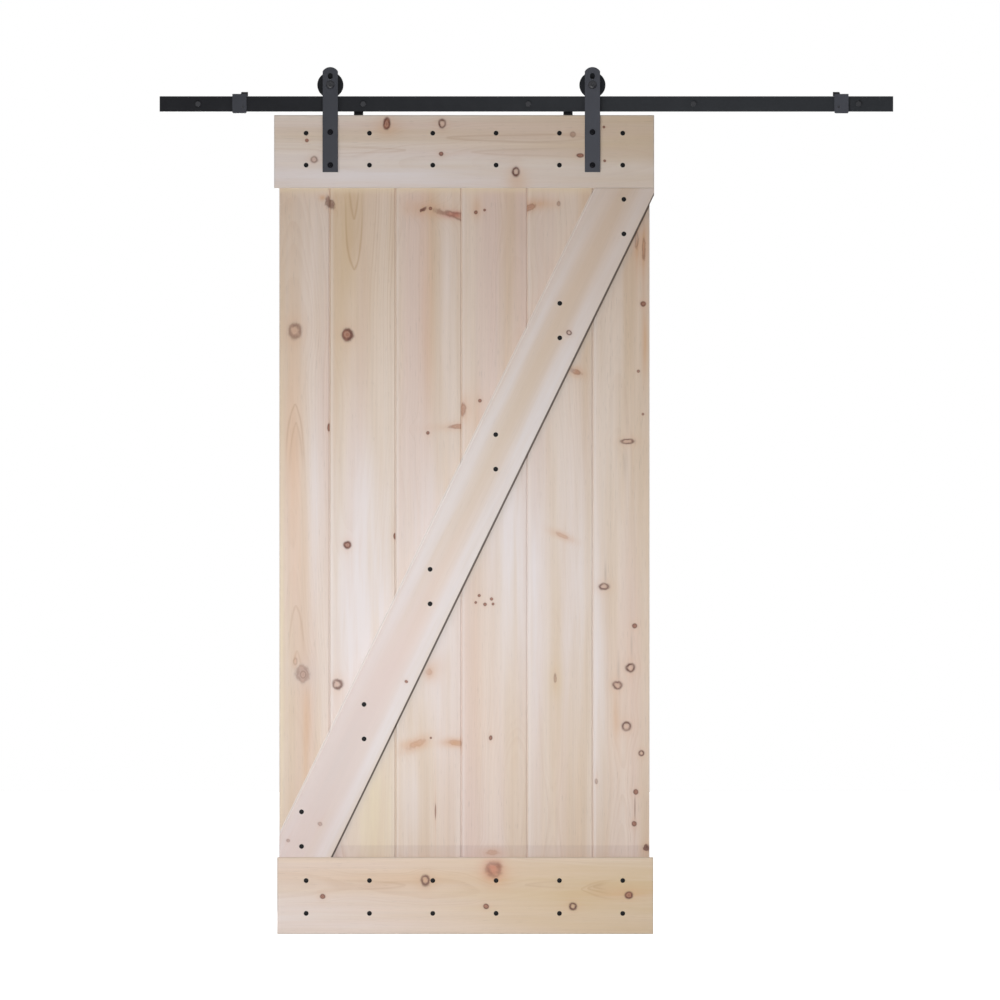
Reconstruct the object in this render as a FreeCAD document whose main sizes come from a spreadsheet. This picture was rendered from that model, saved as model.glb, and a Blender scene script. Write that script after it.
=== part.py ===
import FreeCAD, Part
import os
import math
import Sketcher

os.makedirs("parts", exist_ok=True)
doc = FreeCAD.newDocument("braced_door")

# Sizes in mm. Frame of reference: +Z up, the front faces -Y, the wall plane is y = 0 and the
# origin is the axis of the middle lag screw at the wall.
SIZES = [
    ("rail_left_end", 100, "outermost lag screw to the bar's left end"),
    ("rail_right_end", 90, "outermost lag screw to the bar's right end"),
    ("rail_height", 40, "height of the bar"),
    ("rail_thickness", 6, "thickness of the bar"),
    ("rail_arris", 0.6, "chamfer on the bar's front edges"),
    ("lag_pitch", 430.5, "distance between lag screws"),
    ("lag_count", 5, "number of lag screws"),
    ("lag_shank", 8, "diameter of a lag screw's shank"),
    ("lag_thread", 7.4, "diameter of its threaded end"),
    ("lag_fit", 0.3, "play of a lag screw in bar and spacer, all round"),
    ("lag_reach", 46, "length that goes into the wall"),
    ("lag_point", 8, "length of a lag screw's point"),
    ("lag_head_flats", 13, "hexagon head across flats"),
    ("lag_head_height", 5.3, "height of the hexagon head"),
    ("spacer_length", 38, "wall to the back of the bar"),
    ("spacer_diameter", 20, "outside of a wall spacer"),
    ("stop_width", 37, "width of an end stop along the bar"),
    ("stop_plate", 5, "thickness of a stop's front plate"),
    ("stop_top_lip", 5.7, "thickness of a stop's top"),
    ("stop_bottom_lip", 4, "thickness of a stop's bottom and back lips"),
    ("stop_hook", 7, "height of a stop's back lips"),
    ("stop_fit", 0.3, "gap between a stop and the bar"),
    ("stop_corner", 3.8, "corner radius of a stop's lower corners"),
    ("left_stop_inset", 189.6, "bar's left end to the left stop"),
    ("right_stop_inset", 116.3, "bar's right end to the right stop"),
    ("bumper_overhang", 3.7, "bumper in front of the stop's inner edge"),
    ("bumper_length", 14.3, "bumper along the stop's top"),
    ("bumper_rise", 5, "bumper above the stop's top"),
    ("bumper_depth", 14, "bumper across the bar"),
    ("bumper_gap", 0.5, "bumper above the bar's top edge"),
    ("bumper_chamfer", 2, "chamfer on a bumper's outer top edge"),
    ("door_left", 649, "middle lag screw to the boards' left edge"),
    ("door_gap", 9.5, "bar's lower edge to the leaf's top edge"),
    ("door_height", 2134, "height of the leaf"),
    ("plank_thickness", 19, "thickness of the boards"),
    ("first_plank_width", 131, "face width of the left board"),
    ("plank_width", 171.5, "face width of the four middle boards"),
    ("last_plank_width", 148, "face width of the right board"),
    ("joint_chamfer", 3, "half of the V between two boards"),
    ("tongue_start", 7.5, "front of the boards to the tongue"),
    ("tongue_thickness", 6, "thickness of the tongue"),
    ("tongue_length", 8, "length of the tongue"),
    ("tongue_fit", 0.2, "play on each side of the tongue"),
    ("tongue_tip_gap", 1, "play at the tongue's tip"),
    ("ledge_thickness", 19, "thickness of ledges and brace"),
    ("ledge_arris", 1.2, "chamfer on the front edges of ledges and brace"),
    ("top_ledge_height", 190, "height of the top ledge"),
    ("top_ledge_left", 13.3, "top ledge beyond the boards' left edge"),
    ("top_ledge_right", 11.7, "top ledge beyond the boards' right edge"),
    ("bottom_ledge_height", 200, "height of the bottom ledge"),
    ("bottom_ledge_left", 5.4, "bottom ledge beyond the boards' left edge"),
    ("bottom_ledge_right", 9.6, "bottom ledge beyond the boards' right edge"),
    ("brace_width", 147, "width of the brace board"),
    ("brace_foot", 135.2, "length of the brace's seat on the bottom ledge"),
    ("brace_tip", 18.5, "height of the brace's upright cut under the top ledge"),
    ("strap_width", 40, "width of a hanger strap"),
    ("strap_thickness", 6, "thickness of a hanger strap"),
    ("strap_rise", 46.4, "middle of an axle to the top of its strap"),
    ("strap_reach", 148.6, "leaf's top edge to the lower end of a strap"),
    ("strap_arch", 11, "rise of a strap's arched top"),
    ("strap_arris", 0.8, "chamfer on the front edges of a strap"),
    ("strap_standoff", 11, "front of the bar to the back of the straps"),
    ("left_strap_offset", 2, "first board joint to the left strap's middle"),
    ("right_strap_offset", 0.9, "last board joint to the right strap's middle"),
    ("upper_bolt_drop", 44.3, "leaf's top edge to the upper strap bolt"),
    ("lower_bolt_drop", 130.3, "leaf's top edge to the lower strap bolt"),
    ("strap_bolt", 8, "strap bolt diameter"),
    ("strap_bolt_fit", 0.2, "play round a strap bolt, all round"),
    ("strap_bolt_head", 15, "strap bolt head diameter"),
    ("strap_bolt_rise", 4, "strap bolt head height"),
    ("strap_nut_flats", 13, "strap nut across flats"),
    ("strap_nut_height", 6.8, "strap nut height"),
    ("thread_fit", 0.05, "play of a bolt in its nut, all round"),
    ("bolt_end", 0.8, "bolt ends beyond their nuts"),
    ("slot_width", 12.5, "width of the slot above the axle"),
    ("slot_height", 16, "height of the slot above the axle"),
    ("slot_rise", 22.7, "middle of an axle to the middle of the slot"),
    ("wheel_radius", 34, "outside radius of a wheel"),
    ("tread_radius", 29, "radius at the bottom of the wheel's groove"),
    ("wheel_width", 18, "width of a wheel"),
    ("groove_fit", 1, "bar to the groove's sides at the tread"),
    ("groove_flare", 1.2, "groove wider by this on each side at the rim"),
    ("rolling_gap", 0.3, "tread above the bar's top edge"),
    ("bearing_outside", 32, "bearing outside diameter"),
    ("bearing_width", 10, "bearing width"),
    ("bearing_fit", 0.05, "play between axle and bearing, all round"),
    ("bearing_end_play", 0.05, "play between bearing and axle spacers"),
    ("axle", 12, "axle diameter"),
    ("axle_hole_fit", 0.1, "play of the axle in strap and spacers, all round"),
    ("axle_head", 22, "axle head diameter"),
    ("axle_rise", 5, "axle head height"),
    ("axle_spacer", 18, "outside diameter of the axle spacers"),
    ("axle_nut_flats", 18, "axle nut across flats"),
    ("axle_nut_height", 7, "axle nut height"),
    ("block_width", 24, "anti-jump block along the bar"),
    ("block_clearance", 5.5, "anti-jump block to the bar, below and behind"),
    ("block_overlap", 4, "block behind the bar, above the bar's lower edge"),
    ("block_lip", 9, "base of the block in front of the bar's back"),
    ("block_setback", 4, "back of the leaf to the back of the block"),
    ("left_block_offset", 73.5, "left strap's middle to the left block's middle"),
    ("right_block_offset", 63.6, "right strap's middle to the right block's middle"),
]

# Sizes that follow from the ones above.
DERIVED = [
    ("lag_row", "lag_pitch * (lag_count - 1)"),
    ("lag_hole", "lag_shank + 2 * lag_fit"),
    ("rail_length", "rail_left_end + lag_row + rail_right_end"),
    ("rail_left_reach", "lag_row / 2 + rail_left_end"),
    ("left_stop_face", "rail_left_reach - left_stop_inset - stop_width"),
    ("right_stop_face", "lag_row / 2 + rail_right_end - right_stop_inset - stop_width"),
    ("rail_front", "-(spacer_length + rail_thickness)"),
    ("ledge_front", "rail_front - strap_standoff"),
    ("strap_front", "ledge_front - strap_thickness"),
    ("plank_front", "ledge_front + ledge_thickness"),
    ("plank_back", "plank_front + plank_thickness"),
    ("track_middle", "-(spacer_length + rail_thickness / 2)"),
    ("door_drop", "rail_height / 2 + door_gap"),
    ("door_bottom", "-(door_drop + door_height)"),
    ("door_width", "first_plank_width + 4 * plank_width + last_plank_width"),
    ("brace_span", "door_height - top_ledge_height - bottom_ledge_height"),
    ("brace_reach", "door_width + top_ledge_right"),
    ("brace_lean", "(brace_reach - brace_foot) / (brace_span - brace_tip)"),
    ("brace_level", "brace_width * sqrt(1 + brace_lean * brace_lean)"),
    ("left_strap_place", "door_left - first_plank_width - left_strap_offset"),
    ("right_strap_place", "door_width - last_plank_width - door_left - right_strap_offset"),
    ("strap_gap", "left_strap_place + right_strap_place"),
    ("wheel_height", "rail_height / 2 + rolling_gap + tread_radius"),
    ("groove_width", "rail_thickness + 2 * groove_fit"),
    ("strap_top", "wheel_height + strap_rise"),
    ("strap_bottom", "door_drop + strap_reach"),
    ("slot_place", "wheel_height + slot_rise"),
    ("strap_bolt_upper", "door_drop + upper_bolt_drop"),
    ("strap_bolt_lower", "door_drop + lower_bolt_drop"),
    ("hub_length", "strap_standoff + rail_thickness / 2 - bearing_width / 2"),
    ("left_block_place", "left_strap_place - left_block_offset"),
    ("right_block_place", "right_strap_place - right_block_offset"),
]

sheet = doc.addObject("Spreadsheet::Sheet", "Sizes")
row = 1
for alias, value, note in SIZES:
    sheet.set(f"A{row}", alias)
    sheet.set(f"B{row}", str(value))
    sheet.set(f"C{row}", note)
    sheet.setAlias(f"B{row}", alias)
    row += 1
for alias, formula in DERIVED:
    sheet.set(f"A{row}", alias)
    sheet.set(f"B{row}", "=" + formula)
    sheet.setAlias(f"B{row}", alias)
    row += 1
doc.recompute()

NAMES = sorted([name for name, *_ in SIZES + DERIVED], key=len, reverse=True)


def of_sheet(text):
    """Turn plain size names into references to the sheet."""
    out, word = "", ""
    for letter in text + " ":
        if letter.isalnum() or letter == "_":
            word += letter
            continue
        out += f"Sizes.{word}" if word in NAMES else word
        word = ""
        out += letter
    return out.strip()


def number(text):
    """The present value of an expression in size names."""
    return float(sheet.evalExpression(of_sheet(text)))


def new_body(label, x="0", y="0", z="0"):
    body = doc.addObject("PartDesign::Body", label)
    body.Label = label
    body.AllowCompound = True
    for axis, text in (("x", x), ("y", y), ("z", z)):
        if text != "0":
            body.setExpression(f"Placement.Base.{axis}", of_sheet(text))
    return body


def new_sketch(body, role, name, lift="0"):
    sketch = body.newObject("Sketcher::SketchObject", name)
    plane = next(f for f in body.Origin.OriginFeatures if f.Role == role)
    sketch.AttachmentSupport = [(plane, "")]
    sketch.MapMode = "FlatFace"
    if lift != "0":
        sketch.setExpression("AttachmentOffset.Base.z", of_sheet(lift))
    return sketch


def pin(sketch, shape, point, x, y):
    for kind, text, axis in (("DistanceX", x, -2), ("DistanceY", y, -1)):
        if text == "0":
            sketch.addConstraint(Sketcher.Constraint("PointOnObject", shape, point, axis))
            continue
        index = sketch.addConstraint(Sketcher.Constraint(kind, -1, 1, shape, point, number(text)))
        sketch.setExpression(f"Constraints[{index}]", of_sheet(text))


def corner_points(corners):
    return [FreeCAD.Vector(number(x), number(y), 0) for x, y in corners]


def polygon(sketch, corners):
    points = corner_points(corners)
    first = sketch.GeometryCount
    count = len(points)
    for i in range(count):
        sketch.addGeometry(Part.LineSegment(points[i], points[(i + 1) % count]), False)
    for i in range(count):
        after = first + (i + 1) % count
        sketch.addConstraint(Sketcher.Constraint("Coincident", first + i, 2, after, 1))
    for i in range(count):
        pin(sketch, first + i, 1, *corners[i])


def circles(sketch, places, diameter):
    radius = number(diameter) / 2
    for x, y in places:
        middle = FreeCAD.Vector(number(x), number(y), 0)
        shape = sketch.addGeometry(Part.Circle(middle, FreeCAD.Vector(0, 0, 1), radius), False)
        index = sketch.addConstraint(Sketcher.Constraint("Diameter", shape, 2 * radius))
        sketch.setExpression(f"Constraints[{index}]", of_sheet(diameter))
        pin(sketch, shape, 3, x, y)


def capped(sketch, corners, rise):
    """An outline whose last corner goes back to the first over an arc that is centred on the axis."""
    points = corner_points(corners)
    count = len(points)
    for i in range(count - 1):
        sketch.addGeometry(Part.LineSegment(points[i], points[i + 1]), False)
    start, end = points[-1], points[0]
    top = FreeCAD.Vector(0, start.y + number(rise), 0)
    arc = sketch.addGeometry(Part.ArcOfCircle(Part.Arc(start, top, end).toShape().Curve,
                                              *arc_angles(start, top)), False)
    for i in range(count - 2):
        sketch.addConstraint(Sketcher.Constraint("Coincident", i, 2, i + 1, 1))
    sketch.addConstraint(Sketcher.Constraint("Coincident", arc, 1, count - 2, 2))
    sketch.addConstraint(Sketcher.Constraint("Coincident", arc, 2, 0, 1))
    for i in range(count - 1):
        pin(sketch, i, 1, *corners[i])
    pin(sketch, count - 2, 2, *corners[-1])
    index = sketch.addConstraint(Sketcher.Constraint("Radius", arc, number(arc_radius(corners, rise))))
    sketch.setExpression(f"Constraints[{index}]", of_sheet(arc_radius(corners, rise)))


def arc_radius(corners, rise):
    half = corners[-1][0]
    return f"(({half}) * ({half}) + ({rise}) * ({rise})) / (2 * ({rise}))"


def arc_angles(start, top):
    rise = top.y - start.y
    radius = (start.x * start.x + rise * rise) / (2 * rise)
    below = top.y - radius
    angle = math.atan2(start.y - below, start.x)
    return angle, math.pi - angle


def feature(body, kind, name, sketch):
    item = body.newObject(f"PartDesign::{kind}", name)
    item.Profile = sketch
    body.Tip = item
    return item


def pad(body, sketch, length, name="pad", back=True):
    item = feature(body, "Pad", name, sketch)
    item.setExpression("Length", of_sheet(length))
    item.Reversed = back
    doc.recompute()
    return item


def pocket(body, sketch, depth=None, name="pocket"):
    before = body.Tip.Shape.Volume
    item = feature(body, "Pocket", name, sketch)
    if depth is None:
        item.Type = "ThroughAll"
    else:
        item.Type = "Length"
        item.setExpression("Length", of_sheet(depth))
    doc.recompute()
    if not item.Shape.Volume < before - 1e-3:
        raise RuntimeError(f"{body.Label} {name} cuts nothing")
    return item


def turned(body, sketch, name="turned"):
    item = feature(body, "Revolution", name, sketch)
    item.ReferenceAxis = (sketch, ["V_Axis"])
    item.Angle = 360
    doc.recompute()
    return item


def dressed(body, kind, size, wanted, name):
    """Chamfer or fillet the edges of the tip that the test picks."""
    base = body.Tip
    edges = [f"Edge{i + 1}" for i, edge in enumerate(base.Shape.Edges) if wanted(edge)]
    item = body.newObject(f"PartDesign::{kind}", name)
    item.Base = (base, edges)
    item.setExpression("Size" if kind == "Chamfer" else "Radius", of_sheet(size))
    body.Tip = item
    doc.recompute()
    return item


def on_front(edge):
    return all(abs(vertex.Point.y) < 1e-6 for vertex in edge.Vertexes)


def hexagon(sketch, flats, x="0", y="0"):
    """A hexagon with two level sides."""
    side = f"({flats}) / sqrt(3)"
    middle_x = "" if x == "0" else f"{x} "
    middle_y = "" if y == "0" else f"{y} "
    polygon(sketch, [
        (f"{middle_x}+ {side}", y),
        (f"{middle_x}+ {side} / 2", f"{middle_y}+ ({flats}) / 2"),
        (f"{middle_x}- {side} / 2", f"{middle_y}+ ({flats}) / 2"),
        (f"{middle_x}- {side}", y),
        (f"{middle_x}- {side} / 2", f"{middle_y}- ({flats}) / 2"),
        (f"{middle_x}+ {side} / 2", f"{middle_y}- ({flats}) / 2"),
    ])


def row_pattern(body, sketch, originals, length, count, name="row"):
    """Repeat features to the right, over a length between the first and the last."""
    item = body.newObject("PartDesign::LinearPattern", name)
    item.Originals = originals
    item.Direction = (sketch, ["H_Axis"])
    item.setExpression("Length", of_sheet(length))
    item.setExpression("Occurrences", of_sheet(count))
    body.Tip = item
    doc.recompute()
    return item


def dome(diameter, rise):
    """Points of a domed head's side view, from its crown to its rim, which lies at 0."""
    points = []
    for step in range(DOME_STEPS + 1):
        angle = math.pi / 2 * step / DOME_STEPS
        points.append((f"({diameter}) / 2 * {math.sin(angle):.4f}", f"-({rise}) * {math.cos(angle):.4f}"))
    return points


DOME_STEPS = 3
FIRST_LAG = "-lag_row / 2"
STRAPS = ("-left_strap_place", "right_strap_place")
STRAP_BOLTS = ("strap_bolt_upper", "strap_bolt_lower")

# Track: flat bar, its spacers and its lag screws.

rail = new_body("track_rail", "-rail_left_reach", "rail_front", "-rail_height / 2")
sketch = new_sketch(rail, "XZ_Plane", "rail_outline")
polygon(sketch, [("0", "0"), ("rail_length", "0"), ("rail_length", "rail_height"), ("0", "rail_height")])
pad(rail, sketch, "rail_thickness", "bar")
dressed(rail, "Chamfer", "rail_arris", on_front, "bar_arris")
sketch = new_sketch(rail, "XZ_Plane", "lag_hole")
circles(sketch, [(f"rail_left_reach {FIRST_LAG}", "rail_height / 2")], "lag_hole")
hole = pocket(rail, sketch, None, "lag_hole_cut")
row_pattern(rail, sketch, [hole], "lag_row", "lag_count", "lag_holes")

spacers = new_body("wall_spacers", FIRST_LAG, "-spacer_length")
sketch = new_sketch(spacers, "XZ_Plane", "spacer_ring")
circles(sketch, [("0", "0")], "spacer_diameter")
circles(sketch, [("0", "0")], "lag_hole")
spacer = pad(spacers, sketch, "spacer_length", "spacer")
row_pattern(spacers, sketch, [spacer], "lag_row", "lag_count", "spacers")

lags = new_body("lag_screws", FIRST_LAG, "rail_front")
sketch = new_sketch(lags, "XZ_Plane", "lag_head")
hexagon(sketch, "lag_head_flats")
head = pad(lags, sketch, "lag_head_height", "head", back=False)
sketch = new_sketch(lags, "XY_Plane", "lag_shank")
lag_end = "(spacer_length + rail_thickness + lag_reach)"
polygon(sketch, [
    ("0", "0"),
    ("lag_shank / 2", "0"),
    ("lag_shank / 2", "spacer_length + rail_thickness"),
    ("lag_thread / 2", "spacer_length + rail_thickness"),
    ("lag_thread / 2", f"{lag_end} - lag_point"),
    ("0", lag_end),
])
shank = turned(lags, sketch, "shank")
row_pattern(lags, sketch, [head, shank], "lag_row", "lag_count", "lags")

# End stops: a clip round the bar and a rubber bumper.

for side, sign in (("left", -1), ("right", 1)):
    start = "-left_stop_face - stop_width" if sign < 0 else "right_stop_face"
    stop = new_body(f"{side}_stop", start, "rail_front")
    sketch = new_sketch(stop, "YZ_Plane", "clip")
    front = "-(stop_fit + stop_plate)"
    back = "rail_thickness + stop_fit"
    lip = f"{back} + stop_bottom_lip"
    inside = "(rail_height / 2 + stop_fit)"
    polygon(sketch, [
        (front, f"-({inside} + stop_bottom_lip)"),
        (lip, f"-({inside} + stop_bottom_lip)"),
        (lip, f"-({inside} - stop_hook)"),
        (back, f"-({inside} - stop_hook)"),
        (back, f"-{inside}"),
        ("-stop_fit", f"-{inside}"),
        ("-stop_fit", inside),
        (back, inside),
        (back, f"{inside} - stop_hook"),
        (lip, f"{inside} - stop_hook"),
        (lip, f"{inside} + stop_top_lip"),
        (front, f"{inside} + stop_top_lip"),
    ])
    pad(stop, sketch, "stop_width", "clip_body", back=False)
    low = -(number(inside) + number("stop_bottom_lip"))

    def lower_corner(edge, low=low):
        points = [vertex.Point for vertex in edge.Vertexes]
        level = all(abs(p.z - low) < 1e-6 for p in points)
        return level and len(points) == 2 and abs(points[0].x - points[1].x) < 1e-6

    dressed(stop, "Fillet", "stop_corner", lower_corner, "lower_corners")
    bumper = new_body(
        f"{side}_stop_bumper",
        "-left_stop_face" if sign < 0 else "right_stop_face",
        "track_middle - bumper_depth / 2",
    )
    sketch = new_sketch(bumper, "XZ_Plane", "bumper_side")
    toward, away = ("", "-") if sign < 0 else ("-", "")
    top = "rail_height / 2 + stop_fit + stop_top_lip"
    polygon(sketch, [
        ("0", top),
        ("0", "rail_height / 2 + bumper_gap"),
        (f"{toward}bumper_overhang", "rail_height / 2 + bumper_gap"),
        (f"{toward}bumper_overhang", f"{top} + bumper_rise"),
        (f"{away}(bumper_length - bumper_chamfer)", f"{top} + bumper_rise"),
        (f"{away}bumper_length", f"{top} + bumper_rise - bumper_chamfer"),
        (f"{away}bumper_length", top),
    ])
    pad(bumper, sketch, "bumper_depth", "bumper")

# Leaf: six tongue and groove boards.

WIDTHS = ["first_plank_width"] + ["plank_width"] * 4 + ["last_plank_width"]
BOLT_HOLE = "strap_bolt + 2 * strap_bolt_fit"
OVER_BOARD = {0: STRAPS[0], 1: STRAPS[0], 4: STRAPS[1], 5: STRAPS[1]}

for i, width in enumerate(WIDTHS):
    before = "0" if i == 0 else "(" + " + ".join(WIDTHS[:i]) + ")"
    plank = new_body(f"plank_{i + 1}", f"-door_left + {before}", "plank_front", "door_bottom")
    sketch = new_sketch(plank, "XY_Plane", "board_section")
    tongue_end = "(tongue_start + tongue_thickness)"
    deep = "tongue_length + tongue_tip_gap"
    if i == 0:
        section = [("0", "plank_thickness"), ("0", "0")]
    else:
        section = [
            ("0", "plank_thickness"),
            ("0", f"{tongue_end} + tongue_fit"),
            (deep, f"{tongue_end} + tongue_fit"),
            (deep, "tongue_start - tongue_fit"),
            ("0", "tongue_start - tongue_fit"),
            ("0", "joint_chamfer"),
            ("joint_chamfer", "0"),
        ]
    if i == 5:
        section += [(width, "0"), (width, "plank_thickness")]
    else:
        section += [
            (f"{width} - joint_chamfer", "0"),
            (width, "joint_chamfer"),
            (width, "tongue_start"),
            (f"{width} + tongue_length", "tongue_start"),
            (f"{width} + tongue_length", tongue_end),
            (width, tongue_end),
            (width, "plank_thickness"),
        ]
    polygon(sketch, section)
    pad(plank, sketch, "door_height", "board", back=False)

    if i in OVER_BOARD:
        sketch = new_sketch(plank, "XZ_Plane", "strap_bolt_holes")
        x = f"{OVER_BOARD[i]} + door_left - {before}"
        places = [(x, f"door_height + door_drop - {z}") for z in STRAP_BOLTS]
        circles(sketch, places, BOLT_HOLE)
        pocket(plank, sketch, None, "strap_bolt_holes_cut")

# Ledges: the top one is drilled for the strap bolts.

for side, foot in (("top", "-(door_drop + top_ledge_height)"), ("bottom", "door_bottom")):
    length, height = f"{side}_ledge_left + door_width + {side}_ledge_right", f"{side}_ledge_height"
    ledge = new_body(f"{side}_ledge", f"-door_left - {side}_ledge_left", "ledge_front", foot)
    sketch = new_sketch(ledge, "XZ_Plane", "ledge_outline")
    polygon(sketch, [("0", "0"), (length, "0"), (length, height), ("0", height)])
    pad(ledge, sketch, "ledge_thickness", "board")
    dressed(ledge, "Chamfer", "ledge_arris", on_front, "arris")
    if side == "top":
        sketch = new_sketch(ledge, "XZ_Plane", "strap_bolt_holes")
        places = [
            (f"door_left + top_ledge_left + {x}", f"door_drop + top_ledge_height - {z}")
            for x in STRAPS
            for z in STRAP_BOLTS
        ]
        circles(sketch, places, BOLT_HOLE)
        pocket(ledge, sketch, None, "strap_bolt_holes_cut")

# Brace: a board between the ledges with level seats and upright tips.

brace = new_body("brace", "-door_left", "ledge_front", "door_bottom + bottom_ledge_height")
sketch = new_sketch(brace, "XZ_Plane", "brace_outline")
polygon(sketch, [
    ("0", "0"),
    ("brace_foot", "0"),
    ("brace_reach", "brace_span - brace_tip"),
    ("brace_reach", "brace_span"),
    ("brace_foot - brace_level + brace_span * brace_lean", "brace_span"),
    ("0", "(brace_level - brace_foot) / brace_lean"),
])
pad(brace, sketch, "ledge_thickness", "board")
dressed(brace, "Chamfer", "ledge_arris", on_front, "arris")

# Straps: flat bars with an arched top, a slot and holes for the axle and the two bolts.

for side, place in zip(("left", "right"), STRAPS):
    strap = new_body(f"{side}_strap", place, "strap_front")
    sketch = new_sketch(strap, "XZ_Plane", "strap_outline")
    capped(sketch, [
        ("-strap_width / 2", "strap_top - strap_arch"),
        ("-strap_width / 2", "-strap_bottom"),
        ("strap_width / 2", "-strap_bottom"),
        ("strap_width / 2", "strap_top - strap_arch"),
    ], "strap_arch")
    pad(strap, sketch, "strap_thickness", "flat")
    dressed(strap, "Chamfer", "strap_arris", on_front, "arris")
    sketch = new_sketch(strap, "XZ_Plane", "axle_hole")
    circles(sketch, [("0", "wheel_height")], "axle + 2 * axle_hole_fit")
    pocket(strap, sketch, None, "axle_hole_cut")
    sketch = new_sketch(strap, "XZ_Plane", "bolt_holes")
    circles(sketch, [("0", f"-{z}") for z in STRAP_BOLTS], BOLT_HOLE)
    pocket(strap, sketch, None, "bolt_holes_cut")
    half = "(slot_height - slot_width) / 2"
    for end, level in (("upper", f"slot_place + {half}"), ("lower", f"slot_place - {half}")):
        sketch = new_sketch(strap, "XZ_Plane", f"slot_{end}_end")
        circles(sketch, [("0", level)], "slot_width")
        pocket(strap, sketch, None, f"slot_{end}_cut")
    sketch = new_sketch(strap, "XZ_Plane", "slot_sides")
    polygon(sketch, [
        ("-slot_width / 2", f"slot_place - {half}"),
        ("slot_width / 2", f"slot_place - {half}"),
        ("slot_width / 2", f"slot_place + {half}"),
        ("-slot_width / 2", f"slot_place + {half}"),
    ])
    pocket(strap, sketch, None, "slot_sides_cut")

# Strap bolts: two through each strap, ledge and boards, with dome heads in front and nuts behind.

bolts = new_body("strap_bolts", STRAPS[0], "strap_front")
grip = "strap_thickness + ledge_thickness + plank_thickness"
bolt_parts = []
for level in ("upper", "lower"):
    sketch = new_sketch(bolts, "XZ_Plane", f"{level}_shank")
    circles(sketch, [("0", f"-strap_bolt_{level}")], "strap_bolt")
    bolt_parts.append(pad(bolts, sketch, f"{grip} + strap_nut_height + bolt_end", f"{level}_shank_pad"))
    profile = new_sketch(bolts, "XY_Plane", f"{level}_head", f"-strap_bolt_{level}")
    polygon(profile, dome("strap_bolt_head", "strap_bolt_rise") + [("0", "0")])
    bolt_parts.append(turned(bolts, profile, f"{level}_head_turned"))
row_pattern(bolts, sketch, bolt_parts, "strap_gap", "2", "right_bolts")

nuts = new_body("strap_nuts", "0", "plank_back")
spots = [(x, f"-{z}") for x in STRAPS for z in STRAP_BOLTS]
sketch = new_sketch(nuts, "XZ_Plane", "nut_outlines")
for spot in spots:
    hexagon(sketch, "strap_nut_flats", *spot)
circles(sketch, spots, "strap_bolt + 2 * thread_fit")
pad(nuts, sketch, "strap_nut_height", "nuts")

# Axles: a dome head in front of the strap, a spacer behind it, then bearing and nut.

axles = new_body("axles", STRAPS[0], "strap_front", "wheel_height")
sketch = new_sketch(axles, "XY_Plane", "axle_profile")
axle_end = "strap_thickness + hub_length + bearing_width + bearing_end_play + axle_nut_height + bolt_end"
polygon(sketch, dome("axle_head", "axle_rise") + [
    ("axle / 2", "0"),
    ("axle / 2", axle_end),
    ("0", axle_end),
])
axle = turned(axles, sketch, "axle_turned")
row_pattern(axles, sketch, [axle], "strap_gap", "2", "right_axle")

spots = [(x, "0") for x in STRAPS]
hubs = new_body("axle_spacers", "0", "ledge_front", "wheel_height")
sketch = new_sketch(hubs, "XZ_Plane", "spacer_rings")
circles(sketch, spots, "axle_spacer")
circles(sketch, spots, "axle + 2 * axle_hole_fit")
pad(hubs, sketch, "hub_length - bearing_end_play", "spacers")

behind = "hub_length + bearing_width + bearing_end_play"
nuts = new_body("axle_nuts", "0", f"ledge_front + {behind}", "wheel_height")
sketch = new_sketch(nuts, "XZ_Plane", "nut_outlines")
for spot in spots:
    hexagon(sketch, "axle_nut_flats", *spot)
circles(sketch, spots, "axle + 2 * thread_fit")
pad(nuts, sketch, "axle_nut_height", "nuts")

# Wheels, grooved to run on the bar's top edge, each on a ball bearing that is pressed into it.

for side, place in zip(("left", "right"), STRAPS):
    wheel = new_body(f"{side}_wheel", place, "track_middle", "wheel_height")
    sketch = new_sketch(wheel, "XY_Plane", "wheel_profile")
    half_side = [
        ("bearing_outside / 2", "wheel_width / 2"),
        ("wheel_radius", "wheel_width / 2"),
        ("wheel_radius", "groove_width / 2 + groove_flare"),
        ("tread_radius", "groove_width / 2"),
    ]
    polygon(sketch, half_side + [(r, f"-({y})") for r, y in reversed(half_side)])
    turned(wheel, sketch, "wheel_turned")

    bearing = new_body(f"{side}_bearing", place, "track_middle", "wheel_height")
    sketch = new_sketch(bearing, "XZ_Plane", "bearing_ring", "bearing_width / 2")
    circles(sketch, [("0", "0")], "bearing_outside")
    circles(sketch, [("0", "0")], "axle + 2 * bearing_fit")
    pad(bearing, sketch, "bearing_width", "ring")

# Anti-jump blocks on the leaf's top edge: a base under the bar and an upstand behind it.

for side, place in (("left", "-left_block_place"), ("right", "right_block_place")):
    block = new_body(f"{side}_anti_jump_block", f"{place} - block_width / 2")
    sketch = new_sketch(block, "YZ_Plane", "block_section")
    front = "-(spacer_length + block_lip)"
    back = "plank_back - block_setback"
    upstand_front = "-(spacer_length - block_clearance)"
    base_top = "-(rail_height / 2 + block_clearance)"
    upstand_top = "-(rail_height / 2 - block_overlap)"
    polygon(sketch, [
        (front, "-door_drop"),
        (back, "-door_drop"),
        (back, upstand_top),
        (upstand_front, upstand_top),
        (upstand_front, base_top),
        (front, base_top),
    ])
    pad(block, sketch, "block_width", "block", back=False)

doc.recompute()

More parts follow.
